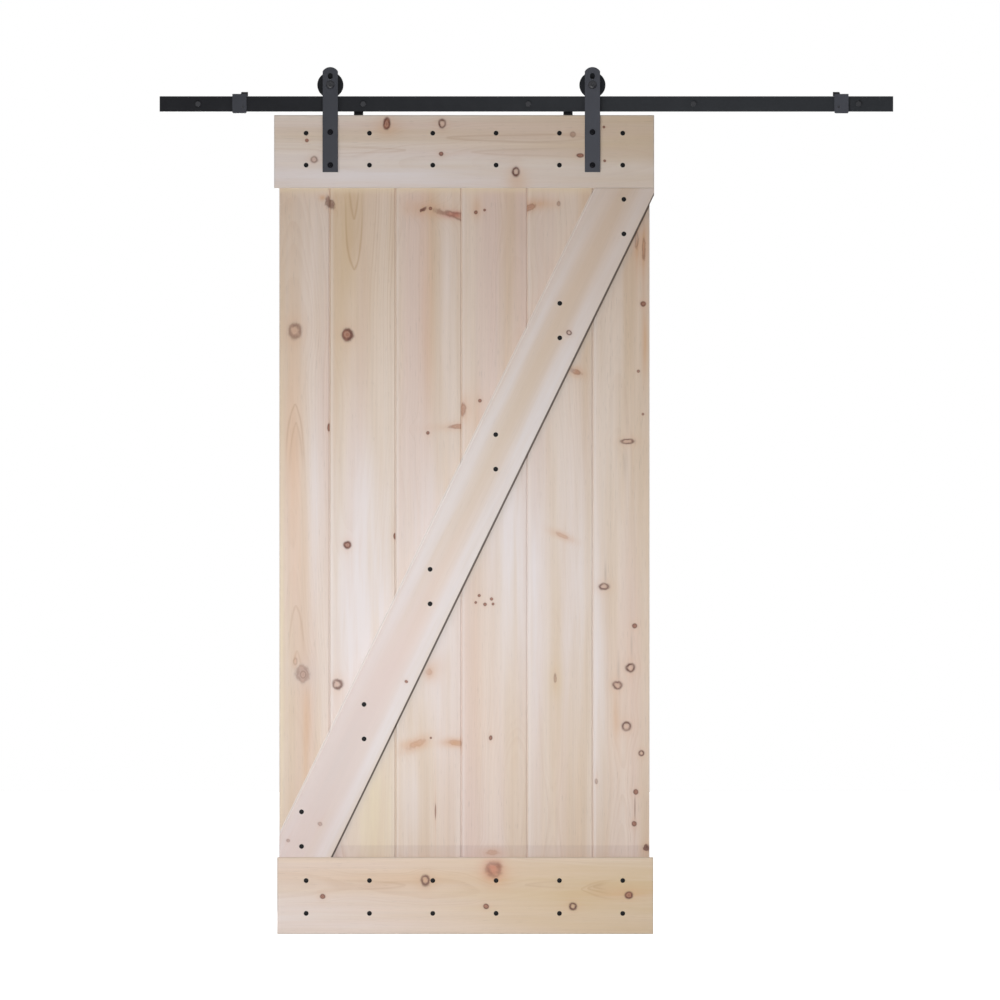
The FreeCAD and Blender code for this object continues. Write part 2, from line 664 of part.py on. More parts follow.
for item in doc.Objects:
    if "Invalid" in item.State or "Error" in item.State:
        raise RuntimeError(f"{item.Label} is {item.State}")
for item in doc.Objects:
    if item.TypeId == "PartDesign::Body":
        shape = item.Shape
        if shape.isNull() or not shape.isValid() or not shape.Solids:
            raise RuntimeError(f"{item.Label} has no valid solid")
        shape.exportStep(f"parts/{item.Label}.step")
        box = shape.BoundBox
        print(f"{item.Label}: {len(shape.Solids)} solids, {shape.Volume / 1e3:.2f} cm3, "
              f"x {box.XMin:.2f} {box.XMax:.2f} y {box.YMin:.2f} {box.YMax:.2f} z {box.ZMin:.2f} {box.ZMax:.2f}")
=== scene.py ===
import math
import bmesh
import bpy
from mathutils import Euler, Matrix, Vector


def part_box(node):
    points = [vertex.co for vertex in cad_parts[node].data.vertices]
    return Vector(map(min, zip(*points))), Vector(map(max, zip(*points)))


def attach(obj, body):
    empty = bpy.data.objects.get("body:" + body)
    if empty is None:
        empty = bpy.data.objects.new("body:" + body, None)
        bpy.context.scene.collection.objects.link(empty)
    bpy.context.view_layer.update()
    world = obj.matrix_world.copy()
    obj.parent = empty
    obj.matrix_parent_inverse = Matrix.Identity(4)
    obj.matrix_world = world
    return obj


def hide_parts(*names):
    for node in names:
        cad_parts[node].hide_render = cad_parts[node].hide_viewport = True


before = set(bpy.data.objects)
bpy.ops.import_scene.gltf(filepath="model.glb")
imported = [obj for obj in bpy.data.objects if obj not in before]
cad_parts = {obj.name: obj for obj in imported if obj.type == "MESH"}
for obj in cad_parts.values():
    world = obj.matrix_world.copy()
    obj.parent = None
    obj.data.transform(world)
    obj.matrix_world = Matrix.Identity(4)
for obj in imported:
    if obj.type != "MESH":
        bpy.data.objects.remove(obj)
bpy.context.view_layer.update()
scene = bpy.context.scene
scene.view_settings.view_transform = "Standard"
MM = 0.001


class Nodes:
    """Adds nodes to one tree. What goes into a node is a number, a colour or another node's output."""

    def __init__(self, tree):
        self.tree = tree

    def join(self, socket, value):
        if isinstance(value, bpy.types.NodeSocket):
            self.tree.links.new(value, socket)
        else:
            socket.default_value = value

    def add(self, kind, inputs, **settings):
        node = self.tree.nodes.new(kind)
        for name, value in settings.items():
            setattr(node, name, value)
        return self.feed(node, inputs)

    def feed(self, node, inputs):
        for key, value in inputs.items():
            self.join(node.inputs[key], value)
        return node

    def math(self, operation, *values):
        node = self.add("ShaderNodeMath", dict(enumerate(values)), operation=operation)
        return node.outputs[0]

    def plus(self, first, *others):
        for other in others:
            first = self.math("ADD", first, other)
        return first

    def times(self, first, *others):
        for other in others:
            first = self.math("MULTIPLY", first, other)
        return first

    def minus(self, a, b):
        return self.math("SUBTRACT", a, b)

    def over(self, a, b):
        return self.math("DIVIDE", a, b)

    def hill(self, distance, width):
        """One where the distance is nothing, falling softly to nothing a few widths away."""
        part = self.over(distance, width)
        return self.math("EXPONENT", self.times(part, part, -1.0))

    def ramp(self, value, start, end, low=0.0, high=1.0):
        """A soft step from low at start to high at end."""
        given = {0: value, 1: start, 2: end, 3: low, 4: high}
        return self.add("ShaderNodeMapRange", given, interpolation_type="SMOOTHSTEP").outputs[0]

    def fall(self, value, start, end, high=1.0):
        """A soft step from high at start to nothing at end."""
        return self.ramp(value, start, end, high, 0.0)

    def parts(self, vector):
        return self.add("ShaderNodeSeparateXYZ", {0: vector}).outputs

    def vector(self, x, y, z):
        return self.add("ShaderNodeCombineXYZ", {0: x, 1: y, 2: z}).outputs[0]

    def reach(self, a, b):
        """The length of a line that goes a one way and b square to it."""
        return self.math("SQRT", self.plus(self.times(a, a), self.times(b, b)))

    def noise(self, place, scale=1.0, detail=2.0, roughness=0.5):
        given = {"Vector": place, "Scale": scale, "Detail": detail, "Roughness": roughness}
        return self.add("ShaderNodeTexNoise", given, noise_dimensions="3D").outputs[0]

    def wood_noise(self, place, across, along, shift, detail=2.0, roughness=0.5):
        """Noise with one scale across a board and out of its face, and another along it."""
        given = {0: place, 1: (across, along, across), 2: self.vector(shift, shift, shift)}
        drawn = self.add("ShaderNodeVectorMath", given, operation="MULTIPLY_ADD").outputs[0]
        return self.noise(drawn, 1.0, detail, roughness)

    def line_noise(self, place, detail=1.0):
        given = {"W": place, "Scale": 1.0, "Detail": detail}
        return self.add("ShaderNodeTexNoise", given, noise_dimensions="1D").outputs[0]

    def mix(self, amount, a, b, blend="MIX"):
        given = {0: amount, 6: a, 7: b}
        return self.add("ShaderNodeMix", given, data_type="RGBA", blend_type=blend).outputs[2]


def tone(red, green, blue):
    return (red, green, blue, 1.0)


def group(name, inputs, outputs, kind="ShaderNodeTree"):
    """An empty node group. Each named input or output has its type, or its usual number or colour."""
    tree = bpy.data.node_groups.new(name, kind)
    for way, sockets in (("INPUT", inputs), ("OUTPUT", outputs)):
        for label, value in sockets.items():
            socket = {float: "Float", tuple: "Color", str: value}[type(value)]
            made = tree.interface.new_socket(label, in_out=way, socket_type="NodeSocket" + socket)
            if not isinstance(value, str):
                made.default_value = value
    given = tree.nodes.new("NodeGroupInput").outputs
    result = tree.nodes.new("NodeGroupOutput").inputs
    return Nodes(tree), given, result


def placed(nodes, tree, inputs):
    return nodes.add("ShaderNodeGroup", inputs, node_tree=tree)


def pine_grain():
    """Growth rings cut by the board's faces, soft lengthwise bands, fibres and resin canals.

    Place is across the board, along it and out of its face. The heart of the tree runs along the board,
    so many metres across and below the face, and climbs by so much on each metre.
    """
    n, given, result = group("pine grain", {
        "Place": "Vector", "Shift": 0.0, "Heart across": 0.0,
        "Heart depth": 0.06, "Climb": 0.02, "Ring width": 0.004,
        "Seed": 0.0, "Lines": 0.3, "Bands": 1.0,
        "Pale": tone(0.77, 0.66, 0.575), "Tan": tone(0.69, 0.545, 0.41),
        "Pink": tone(0.73, 0.585, 0.53), "Late wood": tone(0.56, 0.37, 0.25),
    }, {"Color": "Color", "Height": "Float", "Roughness": "Float"})
    place, seed = given["Place"], given["Seed"]
    across, along, out = n.parts(place)
    wander = 0.05
    sway = n.minus(n.line_noise(n.plus(n.times(along, 0.8), seed), 2.0), 0.5)
    heave = n.minus(n.line_noise(n.plus(n.times(along, 1.3), seed, 11.0), 2.0), 0.5)
    heart = n.plus(given["Heart across"], n.times(sway, wander))
    depth = n.plus(given["Heart depth"], n.times(along, given["Climb"]), n.times(heave, wander))
    distance = n.reach(n.minus(n.plus(across, given["Shift"]), heart), n.plus(out, depth))
    wobble = n.minus(n.wood_noise(place, 16.0, 2.2, seed, 3.0), 0.5)
    distance = n.plus(distance, n.times(wobble, given["Ring width"], 1.8))
    count = n.over(distance, given["Ring width"])
    count = n.plus(count, n.times(n.line_noise(n.plus(n.times(count, 0.3), seed)), 2.0))
    season = n.math("FRACT", count)
    year = n.add("ShaderNodeTexWhiteNoise", {"W": n.plus(n.math("FLOOR", count), seed)},
                 noise_dimensions="1D").outputs[0]
    patch = n.ramp(n.wood_noise(place, 9.0, 1.1, n.plus(seed, 5.0), 1.0), 0.3, 0.7, 0.2, 1.0)
    late = n.times(n.ramp(season, 0.25, 0.9), n.fall(season, 0.93, 1.0), n.ramp(year, 0.0, 1.0, 0.25, 1.0))
    late = n.times(late, patch, given["Lines"])
    bands = n.wood_noise(place, 15.0, 0.7, n.plus(seed, 21.0), 3.0, 0.55)
    blush = n.wood_noise(place, 11.0, 0.55, n.plus(seed, 47.0))
    streaks = n.wood_noise(place, 150.0, 1.6, n.plus(seed, 3.0), 3.0, 0.6)
    fibres = n.wood_noise(place, 900.0, 14.0, seed, 2.0, 0.6)
    canals = n.ramp(n.wood_noise(place, 520.0, 34.0, n.plus(seed, 9.0), 0.0), 0.70, 0.80)
    colour = n.mix(n.times(n.ramp(bands, 0.36, 0.66), given["Bands"]), given["Pale"], given["Tan"])
    colour = n.mix(n.times(n.ramp(blush, 0.42, 0.68), 0.75), colour, given["Pink"])
    colour = n.mix(late, colour, given["Late wood"])
    shade = n.plus(n.times(n.minus(streaks, 0.5), 0.16), n.times(n.minus(fibres, 0.5), 0.10), 1.0)
    shade = n.minus(shade, n.times(canals, 0.10))
    grey = n.add("ShaderNodeCombineColor", {0: shade, 1: shade, 2: shade}).outputs[0]
    n.join(result["Color"], n.mix(1.0, colour, grey, "MULTIPLY"))
    n.join(result["Height"], n.minus(n.plus(n.times(late, 0.6), n.times(fibres, 0.35)), n.times(canals, 0.4)))
    n.join(result["Roughness"], n.plus(n.times(fibres, 0.10), n.times(late, -0.08)))
    return n.tree


# What every mark on a board is given: a point of the face, how rough it is there, and the mark's place.
AT_PLACE = {"Place": "Vector", "Rough": 0.5, "Across": 0.0, "Along": 0.0}


def from_mark(n, given):
    """How far across and along the board a point lies from the mark's place."""
    across, along, out = n.parts(given["Place"])
    return n.minus(across, given["Across"]), n.minus(along, given["Along"])


def knot():
    """One knot, added to what came before it: its body, its dark rim and its warm surround, as a vector.

    Shift moves the grain aside, so that the rings run round the knot.
    """
    n, given, result = group("knot", {
        "So far": "Vector", "Shift": 0.0, **AT_PLACE, "Half width": 0.01, "Half length": 0.012, "Slope": 0.0,
        "Body": 0.5, "Rim": 0.8, "Core": 0.0, "Streak": 0.3, "Halo": 0.4, "Ragged": 0.7,
    }, {"So far": "Vector", "Shift": "Float"})
    half_width, half_length = given["Half width"], given["Half length"]
    aside, ahead = from_mark(n, given)
    ahead = n.minus(ahead, n.times(aside, given["Slope"]))
    reach = n.reach(n.over(aside, half_width), n.over(ahead, half_length))
    reach = n.plus(reach, n.times(n.minus(given["Rough"], 0.5), given["Ragged"]))
    inside = n.fall(reach, 0.75, 1.10)
    body = n.times(inside, given["Body"])
    rings = n.plus(n.times(n.math("SINE", n.times(reach, 13.0)), 0.14), 0.86)
    uneven = n.ramp(given["Rough"], 0.25, 0.60, 0.60, 1.0)
    rim = n.times(n.hill(n.minus(reach, 0.78), 0.30), given["Rim"], uneven)
    rim = n.math("MAXIMUM", rim, n.times(inside, uneven, given["Core"]))
    halo = n.times(n.hill(reach, 1.9), given["Halo"])
    tail = n.hill(aside, n.times(half_width, 0.7))
    fade = n.math("EXPONENT", n.over(n.math("ABSOLUTE", ahead), n.times(half_length, -5.0)))
    streak = n.times(tail, fade, given["Streak"])
    mine = n.vector(n.times(body, rings), rim, n.plus(halo, streak))
    both = n.add("ShaderNodeVectorMath", {0: given["So far"], 1: mine}, operation="MAXIMUM").outputs[0]
    n.join(result["So far"], both)
    near = n.times(n.hill(aside, n.times(half_width, 2.4)), n.hill(ahead, n.times(half_length, 3.2)))
    n.join(result["Shift"], n.minus(given["Shift"], n.times(aside, near, 0.8)))
    return n.tree


def tint_patch():
    """A stretch of the board that is whiter, yellower or redder than the rest, fading out softly."""
    n, given, result = group("tinted stretch", {
        "Color": tone(0.7, 0.6, 0.5), **AT_PLACE, "Half width": 0.05, "Half length": 0.3,
        "Tint": tone(0.8, 0.7, 0.7), "Strength": 0.5}, {"Color": "Color"})
    aside, ahead = from_mark(n, given)
    near = n.times(n.hill(aside, given["Half width"]), n.hill(ahead, given["Half length"]))
    uneven = n.ramp(given["Rough"], 0.25, 0.75, 0.55, 1.3)
    amount = n.math("MINIMUM", n.times(near, uneven, given["Strength"]), 1.0)
    n.join(result["Color"], n.mix(amount, given["Color"], given["Tint"]))
    return n.tree


def grain_arch():
    """The edge of one growth ring where it leaves the face: two thin arms that meet in a tip.

    The arms run along the board for the given length, down it where the length is below nothing.
    """
    n, given, result = group("grain arch", {
        "Color": tone(0.7, 0.6, 0.5), **AT_PLACE, "Half width": 0.02, "Length": 0.2, "Strength": 0.5,
    }, {"Color": "Color"})
    aside, ahead = from_mark(n, given)
    way = n.over(ahead, given["Length"])
    ahead = n.math("ABSOLUTE", ahead)
    open_by = n.minus(1.0, n.math("EXPONENT", n.times(ahead, -24.0)))
    arm = n.plus(n.times(given["Half width"], open_by), n.times(ahead, 0.02))
    sway = n.times(n.minus(given["Rough"], 0.5), 0.012)
    aside = n.math("ABSOLUTE", n.plus(aside, sway))
    line = n.times(n.hill(n.minus(aside, arm), 0.0026), n.ramp(way, -0.01, 0.01))
    inner = n.times(n.ramp(n.minus(arm, aside), 0.0, 0.012), n.ramp(way, 0.0, 0.15))
    amount = n.times(n.plus(line, n.times(inner, 0.25)), n.fall(way, 0.35, 1.0), given["Strength"])
    n.join(result["Color"], n.mix(amount, given["Color"], tone(0.45, 0.26, 0.13)))
    return n.tree


def coat_texture():
    """The fine orange peel, dust and slight unevenness of a baked black coat on flat steel, and painted light
    that makes the coat lighter towards its right end.
    """
    n, given, result = group("baked coat", {
        "Place": "Vector", "Color": tone(0.03, 0.03, 0.03),
        "Lit right end": tone(0.03, 0.03, 0.03), "Dust": 0.2, "Roughness": 0.5,
    }, {"Color": "Color", "Roughness": "Float", "Height": "Float"})
    x, y, z = n.parts(given["Place"])
    # Painted light: the coat lightens towards the right end.
    base = n.mix(n.ramp(x, -1.1, 0.8), given["Color"], given["Lit right end"])
    peel = n.noise(given["Place"], 950.0, 2.0, 0.5)
    cloud = n.noise(given["Place"], 22.0, 4.0, 0.6)
    specks = n.ramp(n.noise(given["Place"], 420.0, 1.0), 0.70, 0.78)
    amount = n.times(n.plus(n.ramp(cloud, 0.35, 0.75), specks), given["Dust"])
    n.join(result["Color"], n.mix(amount, base, tone(0.012, 0.012, 0.013), "ADD"))
    n.join(result["Roughness"], n.plus(given["Roughness"], n.times(n.minus(cloud, 0.5), 0.18)))
    n.join(result["Height"], n.plus(peel, n.times(specks, 0.5)))
    return n.tree


PINE, KNOT, PATCH, ARCH, COAT = pine_grain(), knot(), tint_patch(), grain_arch(), coat_texture()


def material(name):
    made = bpy.data.materials.new(name)
    made.use_nodes = True
    made.node_tree.nodes.clear()
    n = Nodes(made.node_tree)
    shader = n.add("ShaderNodeBsdfPrincipled", {})
    n.add("ShaderNodeOutputMaterial", {"Surface": shader.outputs[0]})
    return made, n, shader


def bump(n, shader, height, distance, strength=1.0):
    relief = n.add("ShaderNodeBump", {"Height": height, "Distance": distance, "Strength": strength})
    n.join(shader.inputs["Normal"], relief.outputs[0])


# Each board's look: which way it runs, if not upright, its tint, the heart of its tree, its rings, its knots
# and its tinted stretches. Places are right of the leaf's left edge and below its top edge, in millimetres.
# A knot is (right, below, width, length, kind, slope), the slope being left out where it is level.
# A stretch is (right, below, half width, half length, tint, strength).
# An arch of the grain is (right, below, half width, length, strength), its tip at that place.
LEAF_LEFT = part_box("plank_1")[0].x
LEAF_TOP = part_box("plank_1")[1].z
TOP_LEDGE_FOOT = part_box("top_ledge")[0].z
BOTTOM_LEDGE_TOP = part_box("bottom_ledge")[1].z
BRACE_LEAN = 26.0
UPRIGHT = (-90.0, 0.0, 0.0)
LEVEL = (-90.0, 0.0, 90.0)
SLANTED = (-90.0, 0.0, BRACE_LEAN)

# The white stretches at the planks' middle height, about 1.0 to 1.5 m down, are partly paler wood and partly
# painted sheen.
TINTS = {
    "white": tone(0.80, 0.73, 0.72), "peach": tone(0.76, 0.53, 0.38), "cream": tone(0.78, 0.67, 0.48),
    "tan": tone(0.66, 0.50, 0.31), "grey": tone(0.66, 0.58, 0.55), "orange": tone(0.66, 0.38, 0.19),
    "red": tone(0.60, 0.20, 0.16), "cool": tone(0.785, 0.745, 0.755), "rose": tone(0.745, 0.60, 0.56),
    "rust": tone(0.36, 0.13, 0.09), "smoke": tone(0.40, 0.32, 0.27),
}

# How strong each part of a knot is, and how ragged its outline.
KNOT_LOOK = ("Body", "Rim", "Core", "Streak", "Halo", "Ragged")
KNOT_KINDS = {
    "ring": (0.14, 1.00, 0.00, 0.20, 0.34, 0.8),
    "rosy": (0.30, 0.86, 0.00, 0.20, 0.34, 0.9),
    "soft": (0.30, 0.60, 0.06, 0.15, 0.40, 0.7),
    "red": (1.00, 0.95, 0.30, 0.25, 0.30, 0.7),
    "torn": (0.60, 0.90, 0.90, 0.30, 0.60, 3.0),
    "split": (0.34, 0.66, 0.60, 0.12, 0.30, 2.2),
    "bloom": (0.28, 0.40, 0.00, 0.05, 0.35, 1.0),
    "curl": (0.30, 0.45, 0.15, 0.60, 0.70, 1.8),
    "dot": (0.75, 0.60, 0.35, 0.10, 0.25, 0.7),
    "blur": (0.28, 0.42, 0.28, 0.25, 0.15, 1.2),
    "faint": (0.15, 0.22, 0.00, 0.30, 0.40, 1.2),
    "pin": (1.00, 0.80, 0.45, 0.15, 0.35, 0.7),
    "spike": (0.65, 0.22, 0.12, 0.15, 0.60, 1.5),
    "smear": (0.34, 0.04, 0.00, 0.10, 0.85, 1.5),
    "wedge": (0.46, 0.42, 0.00, 0.05, 0.40, 1.2),
    "slit": (0.60, 0.40, 0.50, 0.45, 0.30, 0.7),
}

BOARDS = {
    "top_ledge": dict(
        run=LEVEL, tint=(1.0, 1.0, 1.0), heart=(0.03, 0.075, 0.012), rings=4.5, lines=0.26, seed=3.1,
        knots=[
            (280, 22, 19, 32, "red"), (424, 22, 19, 24, "ring"), (422, 101, 12, 11, "pin"),
            (91, 116, 19, 18, "soft"), (72, 66, 9, 9, "pin"), (616, 148, 20, 26, "ring"),
            (765, 50, 15, 16, "blur"), (784, 105, 19, 11, "pin"), (846, 31, 7, 7, "pin"),
            (848, 119, 7, 7, "pin")],
        arches=[
            (435, 60, 5, 420, 0.3), (800, 58, 8, -260, 0.2), (330, 92, 6, -280, 0.22),
            (500, 96, 6, 330, 0.22)],
        stretches=[
            (300, 160, 900, 55, "white", 0.75), (620, 175, 30, 25, "orange", 0.5),
            (285, 30, 40, 25, "orange", 0.35), (880, 70, 260, 120, "tan", 0.35)]),
    "bottom_ledge": dict(
        run=LEVEL, tint=(1.0, 0.99, 0.96), heart=(-0.02, 0.06, 0.03), rings=5.0, lines=0.3, seed=8.7,
        knots=[
            (113, 2036, 14, 13, "pin"), (381, 1994, 24, 30, "rosy"), (559, 1965, 42, 44, "bloom"),
            (539, 2062, 14, 14, "red"), (765, 2062, 21, 20, "ring"), (911, 2033, 21, 19, "red")],
        arches=[
            (803, 2015, 18, 70, 0.3), (786, 2018, 26, 110, 0.24), (818, 2012, 10, 40, 0.28),
            (330, 2006, 9, -260, 0.22), (640, 2005, 7, 150, 0.2)],
        stretches=[
            (60, 2085, 420, 60, "white", 0.6), (330, 1990, 180, 22, "orange", 0.22),
            (950, 2030, 520, 130, "tan", 0.88), (557, 1966, 23, 23, "red", 0.95),
            (572, 1955, 8, 10, "rust", 0.75), (547, 1968, 5, 11, "rust", 0.5),
            (900, 2030, 110, 22, "orange", 0.3), (565, 1985, 40, 30, "orange", 0.4),
            (790, 2050, 60, 40, "tan", 0.4)]),
    "brace": dict(
        run=SLANTED, tint=(0.97, 0.97, 1.0), heart=(0.16, 0.08, 0.004), rings=4.2, lines=0.12, seed=5.3,
        knots=[
            (755, 567, 15, 12, "ring"), (331, 1476, 9, 7, "pin"), (106, 1847, 12, 10, "blur"),
            (23, 1890, 10, 9, "blur")],
        stretches=[
            (488, 1062, 160, 1200, "cool", 0.45), (654, 685, 31, 700, "tan", 0.36),
            (900, 300, 34, 300, "tan", 0.22), (880, 330, 150, 380, "white", 0.14),
            (880, 330, 150, 380, "peach", 0.16), (525, 1080, 23, 1300, "cool", 0.72),
            (433, 1035, 17, 1300, "cool", 0.52), (405, 1240, 26, 300, "peach", 0.25),
            (184, 1632, 60, 430, "rose", 0.9), (158, 1684, 54, 200, "grey", 0.6),
            (281, 1599, 16, 260, "cool", 0.55)]),
    "plank_1": dict(
        tint=(0.99, 0.985, 0.99), heart=(-0.035, 0.075, 0.02), rings=5.2, lines=0.2, seed=12.4,
        knots=[
            (132, 229, 26, 26, "split", -0.5), (41, 562, 35, 42, "soft"), (129, 814, 8, 20, "pin"),
            (60, 1456, 36, 44, "blur"), (62, 1458, 17, 21, "soft"), (42, 1423, 12, 20, "faint")],
        arches=[
            (41, 752, 21, -190, 0.34), (44, 800, 15, -150, 0.26), (43, 1277, 18, -150, 0.26),
            (46, 1395, 16, -60, 0.26)],
        stretches=[
            (90, 330, 60, 260, "white", 0.3), (112, 215, 9, 8, "orange", 0.5),
            (35, 880, 26, 240, "peach", 0.6), (95, 1000, 22, 260, "white", 0.6),
            (45, 1150, 30, 200, "peach", 0.35), (72, 1600, 12, 130, "orange", 0.45),
            (6, 1300, 7, 700, "cream", 0.6), (62, 1456, 40, 40, "grey", 0.5)]),
    "plank_2": dict(
        tint=(1.0, 1.0, 0.99), heart=(-0.031, 0.068, -0.041), rings=6.0, lines=0.5, seed=17.9,
        knots=[
            (132, 229, 26, 26, "split", -0.5), (178, 572, 30, 33, "red"), (177, 1120, 20, 20, "red"),
            (301, 1097, 8, 16, "pin"), (152, 1484, 27, 27, "rosy")],
        arches=[
            (195, 404, 18, 240, 0.44), (194, 272, 11, 110, 0.42)],
        stretches=[
            (190, 330, 60, 330, "tan", 0.5), (196, 250, 24, 150, "tan", 0.45),
            (215, 1330, 110, 430, "white", 0.95), (220, 1000, 26, 110, "white", 0.7),
            (245, 1830, 60, 200, "cream", 0.75)]),
    "plank_3": dict(
        tint=(1.0, 1.0, 1.0), heart=(-0.09, 0.065, 0.012), rings=4.2, lines=0.2, seed=23.6,
        knots=[
            (481, 267, 150, 20, "wedge", -0.26), (373, 246, 15, 11, "torn", 0.5), (394, 243, 9, 9, "pin"),
            (387, 828, 9, 9, "pin"), (476, 811, 84, 12, "spike", 0.05), (390, 1451, 16, 20, "smear"),
            (356, 1640, 44, 19, "smear", 0.4), (395, 1623, 6, 6, "pin"), (462, 1636, 50, 14, "smear", -0.05),
            (407, 1814, 4, 42, "slit")],
        stretches=[
            (385, 480, 16, 340, "orange", 0.34), (456, 259, 30, 9, "red", 1.1),
            (440, 520, 26, 300, "white", 0.5), (380, 245, 60, 22, "orange", 0.35),
            (400, 1250, 90, 380, "white", 0.8), (400, 1440, 36, 40, "orange", 0.25),
            (350, 1640, 34, 12, "orange", 0.6), (462, 1636, 26, 9, "orange", 0.5),
            (345, 1760, 26, 130, "white", 0.5)]),
    "plank_4": dict(
        tint=(0.99, 0.985, 0.99), heart=(0.05, 0.085, 0.014), rings=4.8, lines=0.22, seed=29.2,
        knots=[
            (512, 253, 10, 10, "pin"), (535, 247, 7, 7, "pin"), (479, 767, 16, 34, "spike"),
            (523, 744, 9, 9, "pin"), (521, 1252, 8, 8, "pin"), (553, 1261, 8, 8, "pin"),
            (512, 1270, 7, 7, "pin"), (536, 1275, 9, 9, "pin"), (557, 1274, 7, 7, "pin"),
            (551, 1623, 9, 13, "pin"), (471, 1640, 9, 24, "spike"), (556, 1922, 34, 15, "smear")],
        stretches=[
            (600, 1130, 70, 340, "white", 0.85), (512, 240, 16, 30, "orange", 0.4),
            (495, 770, 40, 60, "peach", 0.4), (520, 1500, 50, 330, "peach", 0.22)]),
    "plank_5": dict(
        tint=(0.985, 0.985, 0.99), heart=(-0.03, 0.06, 0.022), rings=4.6, lines=0.22, seed=34.8,
        knots=[
            (652, 240, 34, 18, "spike", 0.35), (728, 230, 10, 13, "blur"), (774, 669, 28, 14, "spike", -0.3),
            (738, 1096, 34, 12, "smear", -0.4), (719, 1467, 8, 24, "blur")],
        stretches=[
            (679, 231, 42, 14, "orange", 0.55), (665, 1250, 34, 420, "white", 0.8),
            (765, 1200, 46, 380, "white", 0.7), (722, 1500, 14, 420, "tan", 0.35),
            (765, 665, 24, 14, "orange", 0.4), (720, 1475, 16, 45, "tan", 0.5)]),
    "plank_6": dict(
        tint=(0.98, 0.975, 0.97), heart=(0.0, 0.045, 0.018), rings=4.4, lines=0.26, seed=41.5,
        knots=[
            (932, 325, 10, 40, "curl"), (950, 350, 9, 54, "curl"), (948, 492, 15, 14, "pin"),
            (936, 667, 8, 8, "dot"), (948, 779, 7, 7, "dot"), (908, 850, 34, 14, "rosy"),
            (846, 1229, 28, 18, "rosy"), (926, 1331, 13, 13, "pin"), (915, 1440, 24, 24, "ring"),
            (881, 1486, 25, 22, "rosy"), (905, 1592, 24, 24, "ring"), (944, 1663, 15, 15, "ring"),
            (929, 1764, 13, 14, "pin"), (927, 1805, 2.5, 60, "slit"), (925, 1847, 13, 14, "pin"),
            (956, 1909, 14, 18, "torn"), (826, 1737, 8, 14, "blur")],
        stretches=[
            (905, 290, 60, 150, "peach", 0.2), (905, 300, 60, 150, "white", 0.08),
            (940, 330, 18, 90, "orange", 0.4), (952, 590, 7, 90, "orange", 0.6),
            (830, 1450, 26, 420, "white", 0.75), (905, 1500, 40, 300, "peach", 0.3),
            (900, 905, 6, 34, "smoke", 0.22), (850, 1194, 3, 28, "smoke", 0.6),
            (884, 1446, 3, 32, "smoke", 0.45), (918, 1380, 3, 30, "smoke", 0.3),
            (878, 1570, 9, 60, "orange", 0.35)]),
}

# In millimetres: where the brace's lower right edge stands on the bottom ledge, right of the leaf's left
# edge, how wide the brace is, and how far a plank's tongue stands out.
BRACE_SEAT, BRACE_WIDTH, TONGUE = 135.2, 147.0, 8.0

# Boards whose outer edges get a little grey of painted shade, and on which side.
ARRISES = {"top_ledge": "both", "bottom_ledge": "both", "plank_1": "left", "plank_6": "right"}

KNOT_WOOD, KNOT_RIM, KNOT_STAIN = tone(0.33, 0.105, 0.070), tone(0.110, 0.033, 0.021), tone(0.62, 0.32, 0.16)
# Painted highlight on plank chamfers and beside their joints, and painted shade in the planks' joints at the
# back.
CUT_END, PAINTED_BEVEL_LIGHT, JOINT_CREASE_SHADE = tone(0.42, 0.28, 0.17), tone(0.84, 0.76, 0.73), tone(0.24, 0.18, 0.15)
# Painted shadow where the brace's lower edge meets the planks, and painted light beside the brace's edges and
# on the planks past it.
CONTACT_SHADOW, LIT_ARRIS, LIT_BOARD = tone(0.080, 0.055, 0.038), tone(0.96, 0.90, 0.87), tone(0.90, 0.82, 0.76)
# Painted glow of light under the top ledge, and the grey of painted shade on the boards' outer edges.
LEDGE_GLOW, EDGE_SHADE_GREY = tone(0.76, 0.67, 0.51), tone(0.34, 0.32, 0.31)


def board_frame(node, run):
    """The turn and shift that take a point of the model to across, along and out of the board's face."""
    low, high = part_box(node)
    turn = Euler([math.radians(a) for a in run]).to_matrix()
    face = Vector(((low.x + high.x) / 2, low.y, (low.z + high.z) / 2))
    return turn, -(turn @ face)


def object_place(n):
    return n.add("ShaderNodeTexCoord", {}).outputs["Object"]


def on_front(n, out):
    """One on a plank's face and chamfers, nothing farther back."""
    return n.ramp(out, -0.0045, -0.0035)


def joints(n, node, place, colour):
    """A plank's chamfers and the strip right of its joint made paler with painted highlight, and painted
    shade in its joints at the back.
    """
    low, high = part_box(node)
    across, along, out = n.parts(place)
    left = -(high.x - low.x) / 2
    right = -left - (TONGUE * MM if node != "plank_6" else 0.0)
    from_left = n.minus(across, left)
    to_edge = n.math("MINIMUM", from_left, n.minus(right, across))
    front = on_front(n, out)
    bevel = n.times(n.fall(to_edge, 0.0020, 0.0032), front)
    beside = n.times(n.hill(n.minus(from_left, 0.0060), 0.0035), front)
    back = n.times(n.fall(to_edge, 0.0003, 0.0010), n.fall(out, -0.0186, -0.0182))
    # Painted highlight on the chamfers and on the strip right of the joint.
    pale = n.math("MAXIMUM", n.times(bevel, 0.20), n.times(beside, 0.0 if node == "plank_1" else 0.38))
    colour = n.mix(pale, colour, PAINTED_BEVEL_LIGHT)
    # Painted shade in the joint's crease at the back.
    return n.mix(n.times(back, 0.40), colour, JOINT_CREASE_SHADE)


